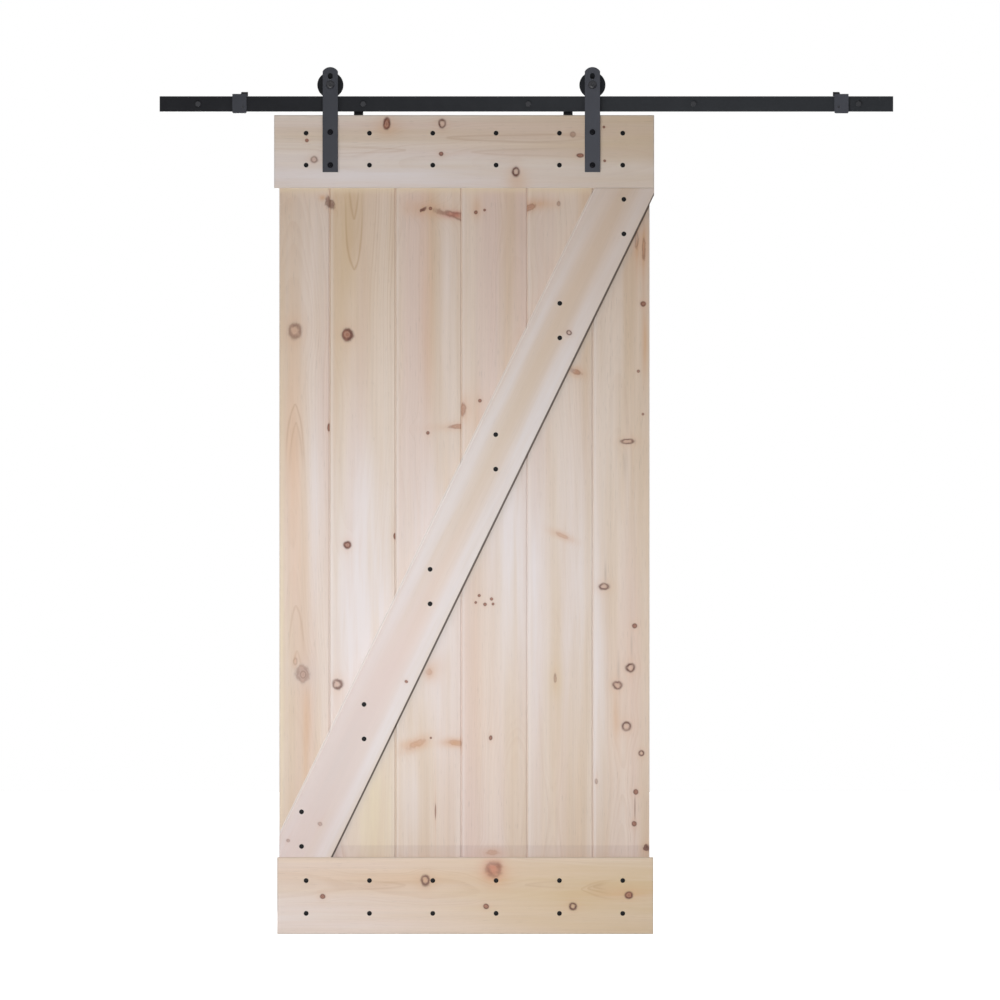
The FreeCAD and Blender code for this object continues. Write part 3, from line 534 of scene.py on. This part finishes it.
def brace_lines(n, node, place, colour):
    """Painted shadow as a dark line where the brace's lower right edge meets the planks, painted light on the
    planks just past it, and a painted lit line along its other edge.
    """
    x, y, z = n.parts(object_place(n))
    lean = math.radians(BRACE_LEAN)
    above_seat = n.minus(z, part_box("brace")[0].z)
    past = n.minus(n.times(n.minus(x, LEAF_LEFT + BRACE_SEAT * MM), math.cos(lean)),
                   n.times(above_seat, math.sin(lean)))
    if node == "brace":
        inside = n.times(past, -1.0)
        # Painted shadow on the brace's lower right arris, and painted light on its upper left arris.
        wider = n.ramp(z, -1.85, -1.10, 0.0002, 0.0026)
        dark = n.fall(n.minus(inside, wider), 0.0, 0.0012, 0.88)
        lit = n.ramp(inside, (BRACE_WIDTH - 2.6) * MM, (BRACE_WIDTH - 1.4) * MM, 0.0, 0.6)
    else:
        front = on_front(n, n.parts(place)[2])
        # Painted shadow on the planks along the brace's lower edge, painted light just past it and along the
        # brace's upper edge.
        narrower = n.ramp(above_seat, 0.1, 0.9, 0.0, 0.0020)
        dark = n.times(n.fall(n.plus(past, narrower), 0.0026, 0.0048), n.ramp(past, -0.003, -0.001))
        dark = n.times(dark, front, 0.93)
        board = n.times(n.fall(past, 0.004, 0.022, 0.30), n.ramp(past, 0.001, 0.004), front)
        colour = n.mix(board, colour, LIT_BOARD)
        beyond = n.minus(-BRACE_WIDTH * MM, past)
        lit = n.times(n.fall(beyond, 0.0018, 0.0046, 0.85), n.ramp(beyond, -0.003, -0.001), front)
    colour = n.mix(dark, colour, CONTACT_SHADOW)
    return n.mix(lit, colour, LIT_ARRIS)


def ledge_shade(n, node, place, colour):
    """Painted shade on planks and brace, a little darker towards the ledges, and a painted glow of light on
    the planks just under the top one.
    """
    x, y, z = n.parts(object_place(n))
    below, above = n.minus(TOP_LEDGE_FOOT, z), n.minus(z, BOTTOM_LEDGE_TOP)
    if node != "brace":
        across, along, out = n.parts(place)
        # Painted shade just above the bottom ledge, then a painted glow of light just under the top ledge.
        band = n.times(n.fall(above, 0.028, 0.034, 0.75), n.ramp(above, -0.001, 0.0), on_front(n, out))
        colour = n.mix(band, colour, tone(0.88, 0.85, 0.87), "MULTIPLY")
        glow = n.times(n.hill(n.minus(below, 0.003), 0.010), n.ramp(out, -0.002, -0.0005), 0.6)
        colour = n.mix(glow, colour, LEDGE_GLOW)
    # Painted shade, darker towards the top ledge and towards the bottom ledge.
    colour = n.mix(n.fall(below, 0.0, 1.0), colour, tone(0.92, 0.88, 0.84), "MULTIPLY")
    return n.mix(n.fall(above, 0.0, 0.30), colour, tone(0.955, 0.945, 0.95), "MULTIPLY")


def handled_edge(n, node, place, sideways, colour):
    """Painted shade: the board's outer edges a little grey."""
    low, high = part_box(node)
    across, along, out = n.parts(place)
    wide, long = (high.z - low.z, high.x - low.x) if sideways else (high.x - low.x, high.z - low.z)
    ends = {"both": n.math("ABSOLUTE", across), "left": n.times(across, -1.0), "right": across}
    to_side = n.minus(wide / 2, ends[ARRISES[node]])
    to_end = n.minus(long / 2, n.math("ABSOLUTE", along)) if sideways else 1.0
    arris = n.fall(n.math("MINIMUM", to_side, to_end), 0.0012, 0.0040, 0.22)
    return n.mix(arris, colour, EDGE_SHADE_GREY)


def pine(node, look):
    """The board's own pine, with the grain along it and its knots where they are, and painted light and shade
    laid over it.
    """
    made, n, shader = material("pine of " + node)
    run = look.get("run", UPRIGHT)
    sideways = run == LEVEL
    turn, shift = board_frame(node, run)
    mapping = n.add("ShaderNodeMapping", {
        "Vector": object_place(n), "Location": shift, "Rotation": turn.to_euler()}, vector_type="POINT")
    place = mapping.outputs[0]
    rough = n.wood_noise(place, 70.0, 50.0, look["seed"], 3.0, 0.6)
    uneven = n.wood_noise(place, 38.0, 2.2, look["seed"], 3.0, 0.6)

    def mark(tree, roughness, right, down, inputs):
        """A mark of the wood at its place on the leaf."""
        spot = turn @ Vector((LEAF_LEFT + right * MM, 0, LEAF_TOP - down * MM)) + shift
        at_place = {"Place": place, "Rough": roughness, "Across": spot.x, "Along": spot.y}
        return placed(n, tree, {**at_place, **inputs}).outputs

    def halves(right, down):
        """Half sizes across and along the board, from those to the right and downwards."""
        across, along = (down, right) if sideways else (right, down)
        return {"Half width": across * MM, "Half length": along * MM}

    so_far, aside = n.vector(0.0, 0.0, 0.0), 0.0
    for right, down, width, length, kind, *slope in look["knots"]:
        so_far, aside = mark(KNOT, rough, right, down, {
            "So far": so_far, "Shift": aside, "Slope": slope[0] if slope else 0.0,
            **halves(width / 2, length / 2), **dict(zip(KNOT_LOOK, KNOT_KINDS[kind]))})
    across, depth, climb = look["heart"]
    grain = placed(n, PINE, {
        "Place": place, "Shift": aside, "Heart across": across, "Heart depth": depth, "Climb": climb,
        "Ring width": look["rings"] * MM, "Seed": look["seed"], "Lines": look["lines"]})
    colour = n.mix(1.0, grain.outputs["Color"], tone(*look["tint"]), "MULTIPLY")
    for right, down, width, length, tint, strength in look["stretches"]:
        colour = mark(PATCH, uneven, right, down, {
            "Color": colour, "Tint": TINTS[tint], "Strength": strength, **halves(width, length)})[0]
    for right, down, width, length, strength in look.get("arches", ()):
        colour = mark(ARCH, uneven, right, down, {
            "Color": colour, "Half width": width * MM, "Length": length * MM, "Strength": strength})[0]
    facing = n.add("ShaderNodeVectorMath", {
        0: n.add("ShaderNodeNewGeometry", {}).outputs["Normal"],
        1: turn.transposed() @ Vector((0, 1, 0))}, operation="DOT_PRODUCT").outputs["Value"]
    end_grain = n.ramp(n.math("ABSOLUTE", facing), 0.75, 0.95)
    colour = n.mix(n.times(end_grain, 0.35), colour, CUT_END)
    if node.startswith("plank"):
        colour = joints(n, node, place, colour)
    body, rim, warm = n.parts(so_far)
    colour = n.mix(n.times(body, 0.94), colour, KNOT_WOOD)
    colour = n.mix(n.times(warm, 0.50), colour, KNOT_STAIN)
    colour = n.mix(rim, colour, KNOT_RIM)
    if not sideways:
        colour = brace_lines(n, node, place, colour)
        colour = ledge_shade(n, node, place, colour)
    # Painted shade on the outer edges.
    if node in ARRISES:
        colour = handled_edge(n, node, place, sideways, colour)
    roughness = n.plus(grain.outputs["Roughness"], n.times(end_grain, 0.2), 0.45)
    n.feed(shader, {"Base Color": colour, "Roughness": roughness, "Specular IOR Level": 0.4})
    bump(n, shader, n.minus(grain.outputs["Height"], n.times(rim, 0.8)), 0.0003, 0.5)
    return made


def coated(name, colour, lit_right_end, roughness, dust, level, relief=0.00006):
    """Steel under a black coat."""
    made, n, shader = material(name)
    coat = placed(n, COAT, {
        "Place": object_place(n), "Color": colour, "Lit right end": lit_right_end, "Roughness": roughness,
        "Dust": dust}).outputs
    n.feed(shader, {"Base Color": coat["Color"], "Roughness": coat["Roughness"], "Specular IOR Level": level})
    bump(n, shader, coat["Height"], relief)
    return made


# A ball bearing's radii, in metres: its bore, its inner ring and the inside of its outer ring.
BORE, INNER_RING, OUTER_RING = 0.00605, 0.0086, 0.0132


def bearing_steel(centre_x, name):
    """Ground steel rings, bright and faintly lined round the axle, with the dark seal between them."""
    made, n, shader = material(name)
    across, deep, up = n.parts(object_place(n))
    low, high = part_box("left_bearing")
    radius = n.reach(n.minus(across, centre_x), n.minus(up, (low.z + high.z) / 2))
    past_inner = n.ramp(radius, INNER_RING, INNER_RING + 0.0002)
    seal = n.times(past_inner, n.fall(radius, OUTER_RING, OUTER_RING + 0.0002))
    lines = n.noise(n.vector(n.times(radius, 4000.0), n.times(deep, 300.0), 0.0), 1.0, 2.0)
    steel = n.mix(n.times(lines, 0.35), tone(0.62, 0.62, 0.63), tone(0.42, 0.42, 0.43))
    n.feed(shader, {
        "Base Color": n.mix(seal, steel, tone(0.03, 0.03, 0.032)), "Metallic": n.minus(1.0, seal),
        "Roughness": n.plus(n.times(seal, 0.25), n.times(lines, 0.12), 0.28)})
    bump(n, shader, lines, 0.00003)
    return made


def rubber(name):
    """Black moulded rubber, dull and slightly dusty."""
    made, n, shader = material(name)
    place = object_place(n)
    cloud = n.noise(place, 160.0, 4.0, 0.65)
    pores = n.noise(place, 1500.0, 1.0)
    dusty = n.mix(n.ramp(cloud, 0.4, 0.8), tone(0.016, 0.016, 0.017), tone(0.034, 0.033, 0.032))
    roughness = n.plus(0.62, n.times(cloud, 0.2))
    n.feed(shader, {"Base Color": dusty, "Roughness": roughness, "Specular IOR Level": 0.3})
    bump(n, shader, pores, 0.00005)
    return made


# Each coat's second colour is painted light, lightening the coat towards the right end.
track_coat = coated("black coat on the track", tone(0.0082, 0.0088, 0.0115), tone(0.036, 0.0395, 0.0455),
                    0.50, 0.35, 0.15)
strap_coat = coated("charcoal coat on straps and stops", tone(0.019, 0.0215, 0.031),
                    tone(0.056, 0.060, 0.077), 0.46, 0.35, 0.42)
bolt_finish = coated("black oxide on bolts", tone(0.020, 0.021, 0.027), tone(0.024, 0.025, 0.031),
                     0.36, 0.25, 0.45, 0.00002)
dome_finish = coated("black dome heads", tone(0.004, 0.004, 0.007), tone(0.004, 0.004, 0.007),
                     0.34, 0.10, 0.10, 0.00001)
screw_finish = coated("black wood screws", tone(0.004, 0.004, 0.005), tone(0.004, 0.004, 0.005),
                      0.50, 0.10, 0.15, 0.00002)
wheel_finish = coated("satin black on wheels", tone(0.009, 0.0095, 0.0105), tone(0.014, 0.017, 0.022),
                      0.45, 0.20, 0.12, 0.00002)
bumper_rubber = rubber("black rubber")


def dress(node, finish):
    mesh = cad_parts[node].data
    mesh.materials.clear()
    mesh.materials.append(finish)


for node, look in BOARDS.items():
    dress(node, pine(node, look))
for node in ("track_rail", "wall_spacers", "left_anti_jump_block", "right_anti_jump_block"):
    dress(node, track_coat)
for node in ("left_strap", "right_strap", "left_stop", "right_stop"):
    dress(node, strap_coat)
for node in ("lag_screws", "strap_bolts", "strap_nuts", "axles", "axle_spacers", "axle_nuts"):
    dress(node, bolt_finish)
for side in ("left", "right"):
    dress(side + "_wheel", wheel_finish)
    dress(side + "_stop_bumper", bumper_rubber)


# Geometry Nodes for what repeats. A piece is a stack of rings, each with its radius and its height,
# and a ring may be six-sided. The rings start at the far end of the shank and end at the top of the head.
SIDES = 36


def hexagon_reach(n):
    """A point's x, y and z, and how far out a hexagon goes in its direction, where its flats are at one."""
    x, y, z = n.parts(n.add("GeometryNodeInputPosition", {}).outputs[0])
    sine, cosine = n.math("ABSOLUTE", y), n.math("ABSOLUTE", x)
    slanted = n.plus(n.times(cosine, math.sqrt(0.75)), n.times(sine, 0.5))
    return x, y, z, n.over(1.0, n.math("MAXIMUM", sine, slanted))


def ring_stack(n, rings):
    """A closed solid from (radius, height) rings, a six-sided one having True as well."""
    last = len(rings) - 1
    tube = n.add("GeometryNodeMeshCylinder", {
        "Vertices": SIDES, "Side Segments": last, "Radius": 1.0, "Depth": float(last)}, fill_type="NGON")
    x, y, z, hexagon = hexagon_reach(n)
    ring = n.math("ROUND", n.plus(z, last / 2))
    radius = n.add("GeometryNodeIndexSwitch", {}, data_type="FLOAT")
    height = n.add("GeometryNodeIndexSwitch", {}, data_type="FLOAT")
    for switch in (radius, height):
        while len(switch.index_switch_items) < len(rings):
            switch.index_switch_items.new()
        n.join(switch.inputs["Index"], ring)
    for count, (reach, level, *six_sided) in enumerate(rings):
        n.join(radius.inputs[str(count)], n.times(reach, hexagon) if six_sided else reach)
        n.join(height.inputs[str(count)], level)
    spot = n.vector(n.times(x, radius.outputs[0]), n.times(y, radius.outputs[0]), height.outputs[0])
    return n.add("GeometryNodeSetPosition", {"Geometry": tube.outputs["Mesh"], "Position": spot}).outputs[0]


def repeated(n, given, result, shape):
    """The shape at every given point, each turned by its own angle, as one plain mesh."""
    many = n.add("GeometryNodeInstanceOnPoints", {"Points": given["Points"], "Instance": shape})
    twist = n.add("FunctionNodeRandomValue", {2: 0.0, 3: given["Most turn"], "Seed": 4}, data_type="FLOAT")
    turned = n.add("GeometryNodeRotateInstances", {
        "Instances": many.outputs[0], "Rotation": n.vector(0.0, 0.0, twist.outputs[1])})
    real = n.add("GeometryNodeRealizeInstances", {"Geometry": turned.outputs[0]})
    merged = n.add("GeometryNodeMergeByDistance", {"Geometry": real.outputs[0], "Distance": 0.00001})
    finish = n.add("GeometryNodeSetMaterial", {"Geometry": merged.outputs[0], "Material": given["Finish"]})
    n.join(result["Geometry"], finish.outputs[0])


def sized_tree(name, sizes, most_turn=1.0):
    inputs = {"Points": "Geometry", **sizes, "Most turn": most_turn, "Finish": "Material"}
    return group(name, inputs, {"Geometry": "Geometry"}, "GeometryNodeTree")


def round_heads():
    """Low domed heads with a six-sided socket, on a shank."""
    n, given, result = sized_tree("round heads", {
        "Head diameter": 0.012, "Head rise": 0.0012, "Socket across": 0.004, "Socket depth": 0.001,
        "Shank diameter": 0.005, "Shank length": 0.004})
    half, rise = n.over(given["Head diameter"], 2.0), given["Head rise"]
    socket, floor = n.over(given["Socket across"], 2.0), n.minus(rise, given["Socket depth"])
    shank, length = n.over(given["Shank diameter"], 2.0), n.times(given["Shank length"], -1.0)
    arris = n.plus(length, n.times(shank, 0.15))
    brim = 0.06
    rings = [(n.times(shank, 0.85), length), (shank, arris), (shank, 0.0),
             (n.times(half, 0.97), 0.0), (half, n.times(rise, brim))]
    for degrees in (15, 30, 45, 58, 70):
        angle = math.radians(degrees)
        level = brim + (1.0 - brim) * math.sin(angle)
        rings.append((n.times(half, math.cos(angle)), n.times(rise, level)))
    rings += [(n.times(socket, 1.3), rise), (socket, n.times(rise, 0.99), True),
              (n.times(socket, 0.92), floor, True)]
    repeated(n, given, result, ring_stack(n, rings))
    return n.tree


def hexagons():
    """Hexagon nuts, or hexagon heads on a shank with a tapered point."""
    n, given, result = sized_tree("hexagons", {
        "Across flats": 0.013, "Height": 0.0068, "Shank diameter": 0.008, "Shank length": 0.0,
        "Root diameter": 0.0054, "Root length": 0.0, "Point length": 0.0})
    half, height = n.over(given["Across flats"], 2.0), given["Height"]
    chamfered = n.times(half, 0.97)
    shank, root = n.over(given["Shank diameter"], 2.0), n.over(given["Root diameter"], 2.0)
    shank_end = n.times(given["Shank length"], -1.0)
    root_end = n.minus(shank_end, given["Root length"])
    tip = n.minus(root_end, given["Point length"])
    corner = n.times(half, hexagon_reach(n)[3])
    cut = n.times(n.minus(corner, chamfered), math.tan(math.radians(30)))
    rings = [(n.times(root, 0.08), tip), (root, root_end), (root, shank_end),
             (shank, shank_end), (shank, 0.0), (chamfered, 0.0),
             (half, n.times(cut, 0.5), True), (half, n.minus(height, cut), True), (chamfered, height),
             (n.times(chamfered, 0.9), height)]
    repeated(n, given, result, ring_stack(n, rings))
    return n.tree


def spiral_threads():
    """The raised spiral of a wood thread, running down from each point."""
    n, given, result = sized_tree("spiral threads", {
        "Outside diameter": 0.0074, "Root diameter": 0.0054, "Length": 0.040, "Pitch": 0.0032}, 0.0)
    outside, root = n.over(given["Outside diameter"], 2.0), n.over(given["Root diameter"], 2.0)
    ridge = n.over(n.minus(outside, root), 1.5)
    middle = n.minus(outside, ridge)
    line = n.add("GeometryNodeCurveSpiral", {
        "Resolution": 20, "Rotations": n.over(given["Length"], given["Pitch"]), "Start Radius": middle,
        "End Radius": n.times(middle, 0.9), "Height": given["Length"]})
    edge = n.add("GeometryNodeCurvePrimitiveCircle", {"Resolution": 4, "Radius": ridge}, mode="RADIUS")
    ridges = n.add("GeometryNodeCurveToMesh", {
        "Curve": line.outputs[0], "Profile Curve": edge.outputs[0], "Fill Caps": True})
    lowered = n.add("GeometryNodeTransform", {
        "Geometry": ridges.outputs[0], "Translation": n.vector(0.0, 0.0, n.times(given["Length"], -1.0))})
    repeated(n, given, result, lowered.outputs[0])
    return n.tree


ROUND_HEADS, HEXAGONS, SPIRALS = round_heads(), hexagons(), spiral_threads()
FRONT = Matrix.Rotation(math.radians(90), 4, "X")
BACK = Matrix.Rotation(math.radians(-90), 4, "X")
UP = Matrix.Identity(4)
SHARP = math.radians(32)


def grow(name, tree, points, facing, finish, sizes):
    """The tree's shape at each point, its heads facing one way, turned into a plain mesh."""
    mesh = bpy.data.meshes.new(name)
    mesh.from_pydata([facing.inverted() @ Vector(p) for p in points], [], [])
    piece = bpy.data.objects.new(name, mesh)
    scene.collection.objects.link(piece)
    modifier = piece.modifiers.new("shape", "NODES")
    modifier.node_group = tree
    wanted = dict(sizes, **{"Finish": finish})
    for item in tree.interface.items_tree:
        if item.in_out == "INPUT" and item.name in wanted:
            modifier[item.identifier] = wanted.pop(item.name)
    assert not wanted, f"{name}: no input named {sorted(wanted)}"
    bpy.context.view_layer.update()
    shapes = bpy.context.evaluated_depsgraph_get()
    result = bpy.data.meshes.new_from_object(piece.evaluated_get(shapes), depsgraph=shapes)
    piece.modifiers.clear()
    piece.data = result
    result.transform(facing)
    result.shade_smooth()
    result.set_sharp_from_angle(angle=SHARP)
    bpy.data.meshes.remove(mesh)
    return piece


def middle(node):
    low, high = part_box(node)
    return (low + high) / 2


# Wood screws that hold ledges and brace to the boards: two rows on each ledge and pairs along the brace.
LEDGE_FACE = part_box("top_ledge")[0].y


def screw_place(right, up):
    """A place on the ledges' front, from the leaf's left edge and the bar's middle, in millimetres."""
    return (LEAF_LEFT + right * MM, LEDGE_FACE, up * MM)


ledge_rows = (-76.5, -159.8, -2024.0, -2109.6)
screw_places = [screw_place(70 + 165 * i, up) for i in range(6) for up in ledge_rows]
for right, up in ((58, -1890.0), (221, -1610.0), (393, -1258.0), (564, -907.0), (731, -565.0), (898, -294.0)):
    screw_places += [screw_place(right, up + 45), screw_place(right, up - 45)]
wood_screws = grow("wood_screws", ROUND_HEADS, screw_places, FRONT, screw_finish, {
    "Head diameter": 0.0125, "Head rise": 0.0012, "Socket across": 0.0042, "Socket depth": 0.0011,
    "Shank diameter": 0.005, "Shank length": 0.030})
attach(wood_screws, "door")

# Dome-head bolts through straps, ledge and boards, and the axles through strap, spacer and bearing.
STRAP_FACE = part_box("left_strap")[0].y
AXLE_LEVEL = middle("left_bearing").z
strap_middles = [middle("left_strap").x, middle("right_strap").x]
bolt_low, bolt_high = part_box("strap_bolts")
half_head = 7.5 * MM
bolt_rows = (bolt_high.z - half_head, bolt_low.z + half_head)
bolt_places = [(x, STRAP_FACE, z) for x in strap_middles for z in bolt_rows]
strap_bolts = grow("strap_bolt_set", ROUND_HEADS, bolt_places, FRONT, dome_finish, {
    "Head diameter": 2 * half_head, "Head rise": 0.004, "Socket across": 0.005, "Socket depth": 0.0022,
    "Shank diameter": 0.008, "Shank length": bolt_high.y - STRAP_FACE})
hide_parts("strap_bolts")
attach(strap_bolts, "door")

axle_places = [(x, STRAP_FACE, AXLE_LEVEL) for x in strap_middles]
axles = grow("axle_set", ROUND_HEADS, axle_places, FRONT, bolt_finish, {
    "Head diameter": 0.022, "Head rise": 0.005, "Socket across": 0.008, "Socket depth": 0.003,
    "Shank diameter": 0.012, "Shank length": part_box("axles")[1].y - STRAP_FACE})
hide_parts("axles")
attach(axles, "door")

nut_low, nut_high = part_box("strap_nuts")
nut_places = [(x, nut_low.y, z) for x in strap_middles for z in bolt_rows]
strap_nuts = grow("strap_nut_set", HEXAGONS, nut_places, BACK, bolt_finish, {
    "Across flats": 0.013, "Height": nut_high.y - nut_low.y, "Shank diameter": 0.008,
    "Root diameter": 0.006})
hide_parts("strap_nuts")
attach(strap_nuts, "door")

nut_low, nut_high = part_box("axle_nuts")
nut_places = [(x, nut_low.y, AXLE_LEVEL) for x in strap_middles]
axle_nuts = grow("axle_nut_set", HEXAGONS, nut_places, BACK, bolt_finish, {
    "Across flats": 0.018, "Height": nut_high.y - nut_low.y, "Shank diameter": 0.012,
    "Root diameter": 0.010})
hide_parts("axle_nuts")
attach(axle_nuts, "door")

# Lag screws through bar and spacers, with their wood threads standing out behind.
lag_low, lag_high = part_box("lag_screws")
RAIL_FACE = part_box("track_rail")[0].y
first, last = lag_low.x + half_head, lag_high.x - half_head
lag_row = [first + (last - first) * i / 4 for i in range(5)]
lag_screws = grow("lag_screw_set", HEXAGONS, [(x, RAIL_FACE, 0.0) for x in lag_row], FRONT, bolt_finish, {
    "Across flats": 0.013, "Height": RAIL_FACE - lag_low.y, "Shank diameter": 0.008,
    "Shank length": -RAIL_FACE, "Root diameter": 0.0054, "Root length": 0.038, "Point length": 0.008})
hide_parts("lag_screws")
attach(lag_screws, "track")
lag_threads = grow("lag_threads", SPIRALS, [(x, 0.001, 0.0) for x in lag_row], FRONT, bolt_finish, {})
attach(lag_threads, "track")

# Set screws that clamp the stops to the bar, and the screws that hold the anti-jump blocks to the leaf.
STOP_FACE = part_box("left_stop")[0].y
from_end, below_middle = 10.5 * MM, 8 * MM
stop_places = [(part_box("left_stop")[1].x - from_end, STOP_FACE, -below_middle),
               (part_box("right_stop")[0].x + from_end, STOP_FACE, -below_middle)]
set_screws = grow("stop_set_screws", ROUND_HEADS, stop_places, FRONT, bolt_finish, {
    "Head diameter": 0.0064, "Head rise": 0.0008, "Socket across": 0.003, "Socket depth": 0.0016,
    "Shank diameter": 0.004, "Shank length": 0.004})
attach(set_screws, "track")

blocks = ("left_anti_jump_block", "right_anti_jump_block")
block_places = [(middle(b).x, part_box(b)[1].y - 5.75 * MM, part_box(b)[1].z) for b in blocks]
block_screws = grow("block_screws", ROUND_HEADS, block_places, UP, bolt_finish, {
    "Head diameter": 0.0072, "Head rise": 0.0004, "Socket across": 0.003, "Socket depth": 0.0014,
    "Shank diameter": 0.004, "Shank length": 0.012})
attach(block_screws, "door")


def turned_ring(name, outline, centre, finish, steps=72):
    """A ring turned about an axle that runs along Y, from a closed outline of (radius, depth) points."""
    shape = bmesh.new()
    rows = []
    for step in range(steps):
        angle = 2 * math.pi * step / steps
        out = Vector((math.cos(angle), 0.0, math.sin(angle)))
        rows.append([shape.verts.new(centre + out * r + Vector((0.0, y, 0.0))) for r, y in outline])
    for here, there in zip(rows, rows[1:] + rows[:1]):
        for i in range(len(outline)):
            j = (i + 1) % len(outline)
            shape.faces.new((here[i], here[j], there[j], there[i]))
    bmesh.ops.recalc_face_normals(shape, faces=shape.faces)
    mesh = bpy.data.meshes.new(name)
    shape.to_mesh(mesh)
    shape.free()
    mesh.materials.append(finish)
    mesh.shade_smooth()
    mesh.set_sharp_from_angle(angle=SHARP)
    piece = bpy.data.objects.new(name, mesh)
    scene.collection.objects.link(piece)
    return piece


# Ball bearings in the wheels: two ground rings with a sunk seal between them on each side.
for side in ("left", "right"):
    low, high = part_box(side + "_bearing")
    centre, half = (low + high) / 2, (high.y - low.y) / 2
    outside = (high.x - low.x) / 2
    arris, rounded, sunk = 0.0005, 0.0003, half - 0.0007
    front_half = [(outside, 0.0), (outside, half - arris), (outside - arris, half),
                  (OUTER_RING + rounded, half), (OUTER_RING, sunk), (INNER_RING + rounded, sunk),
                  (INNER_RING, half), (0.0066, half), (BORE, half - arris), (BORE, 0.0)]
    outline = front_half + [(r, -y) for r, y in reversed(front_half[1:-1])]
    finish = bearing_steel(centre.x, f"bearing steel on the {side}")
    bearing = turned_ring(side + "_ball_bearing", outline, centre, finish)
    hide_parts(side + "_bearing")
    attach(bearing, side + "_roller")

# Floor, just under the leaf. Near the door it takes its light and shadow, farther off it fades to white.
FLOOR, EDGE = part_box("plank_1")[0].z - 0.012, 20.0
corners = [(-EDGE, -EDGE, FLOOR), (EDGE, -EDGE, FLOOR), (EDGE, EDGE, FLOOR), (-EDGE, EDGE, FLOOR)]
mesh = bpy.data.meshes.new("floor")
mesh.from_pydata(corners, [], [(0, 1, 2, 3)])
floor = bpy.data.objects.new("floor", mesh)
scene.collection.objects.link(floor)
floor_paint, n, shader = material("pale floor")
x, y, z = n.parts(object_place(n))
under_leaf = (-0.166, -0.03)
away = n.reach(n.minus(x, under_leaf[0]), n.minus(y, under_leaf[1]))
ray = n.add("ShaderNodeLightPath", {}).outputs["Is Camera Ray"]
n.feed(shader, {
    "Base Color": tone(0.8, 0.8, 0.8), "Roughness": 0.7, "Specular IOR Level": 0.2,
    "Emission Color": tone(1.0, 1.0, 1.0),
    "Emission Strength": n.times(ray, n.ramp(away, 0.5, 1.4, 0.78, 1.0))})
mesh.materials.append(floor_paint)

world = bpy.data.worlds.new("studio")
scene.world = world
world.use_nodes = True
world.node_tree.nodes.clear()
n = Nodes(world.node_tree)
path = n.add("ShaderNodeLightPath", {}).outputs
mirrored = n.math("MAXIMUM", path["Is Glossy Ray"], path["Is Transmission Ray"])
seen = n.math("MAXIMUM", path["Is Camera Ray"], mirrored)
AMBIENT = 0.19
backdrop = n.add("ShaderNodeBackground", {
    "Color": tone(1.0, 1.0, 1.0), "Strength": n.plus(AMBIENT, n.times(seen, 1.0 - AMBIENT))})
n.add("ShaderNodeOutputWorld", {"Surface": backdrop.outputs[0]})


def soft_box(name, place, aim, size, power):
    lamp = bpy.data.lights.new(name, "AREA")
    lamp.shape = "SQUARE"
    lamp.size = size
    lamp.energy = power
    box = bpy.data.objects.new(name, lamp)
    box.location = place
    box.rotation_euler = (Vector(aim) - Vector(place)).to_track_quat("-Z", "Y").to_euler()
    box.visible_camera = False
    scene.collection.objects.link(box)


soft_box("front soft box", (-0.30, -2.50, -1.50), (-0.20, 0.0, -1.40), 1.3, 33.6)
soft_box("left soft box", (-2.00, -2.30, -0.90), (-0.20, 0.0, -1.10), 1.0, 12.2)
soft_box("back soft box", (-0.60, 2.60, -0.70), (-0.20, 0.0, -1.10), 1.6, 44.0)

# The camera stands level with the leaf's middle, straight in front of it, as in the photograph.
DISTANCE, PICTURE_WIDTH = 40.0, 2.607
PICTURE_MIDDLE = (-0.0738, -1.0324)
camera_data = bpy.data.cameras.new("camera")
camera_data.sensor_width = 36.0
camera_data.lens = camera_data.sensor_width * DISTANCE / PICTURE_WIDTH
camera = bpy.data.objects.new("camera", camera_data)
camera.location = (PICTURE_MIDDLE[0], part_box("plank_1")[0].y - DISTANCE, PICTURE_MIDDLE[1])
camera.rotation_euler = (math.radians(90), 0.0, 0.0)
scene.collection.objects.link(camera)
scene.camera = camera
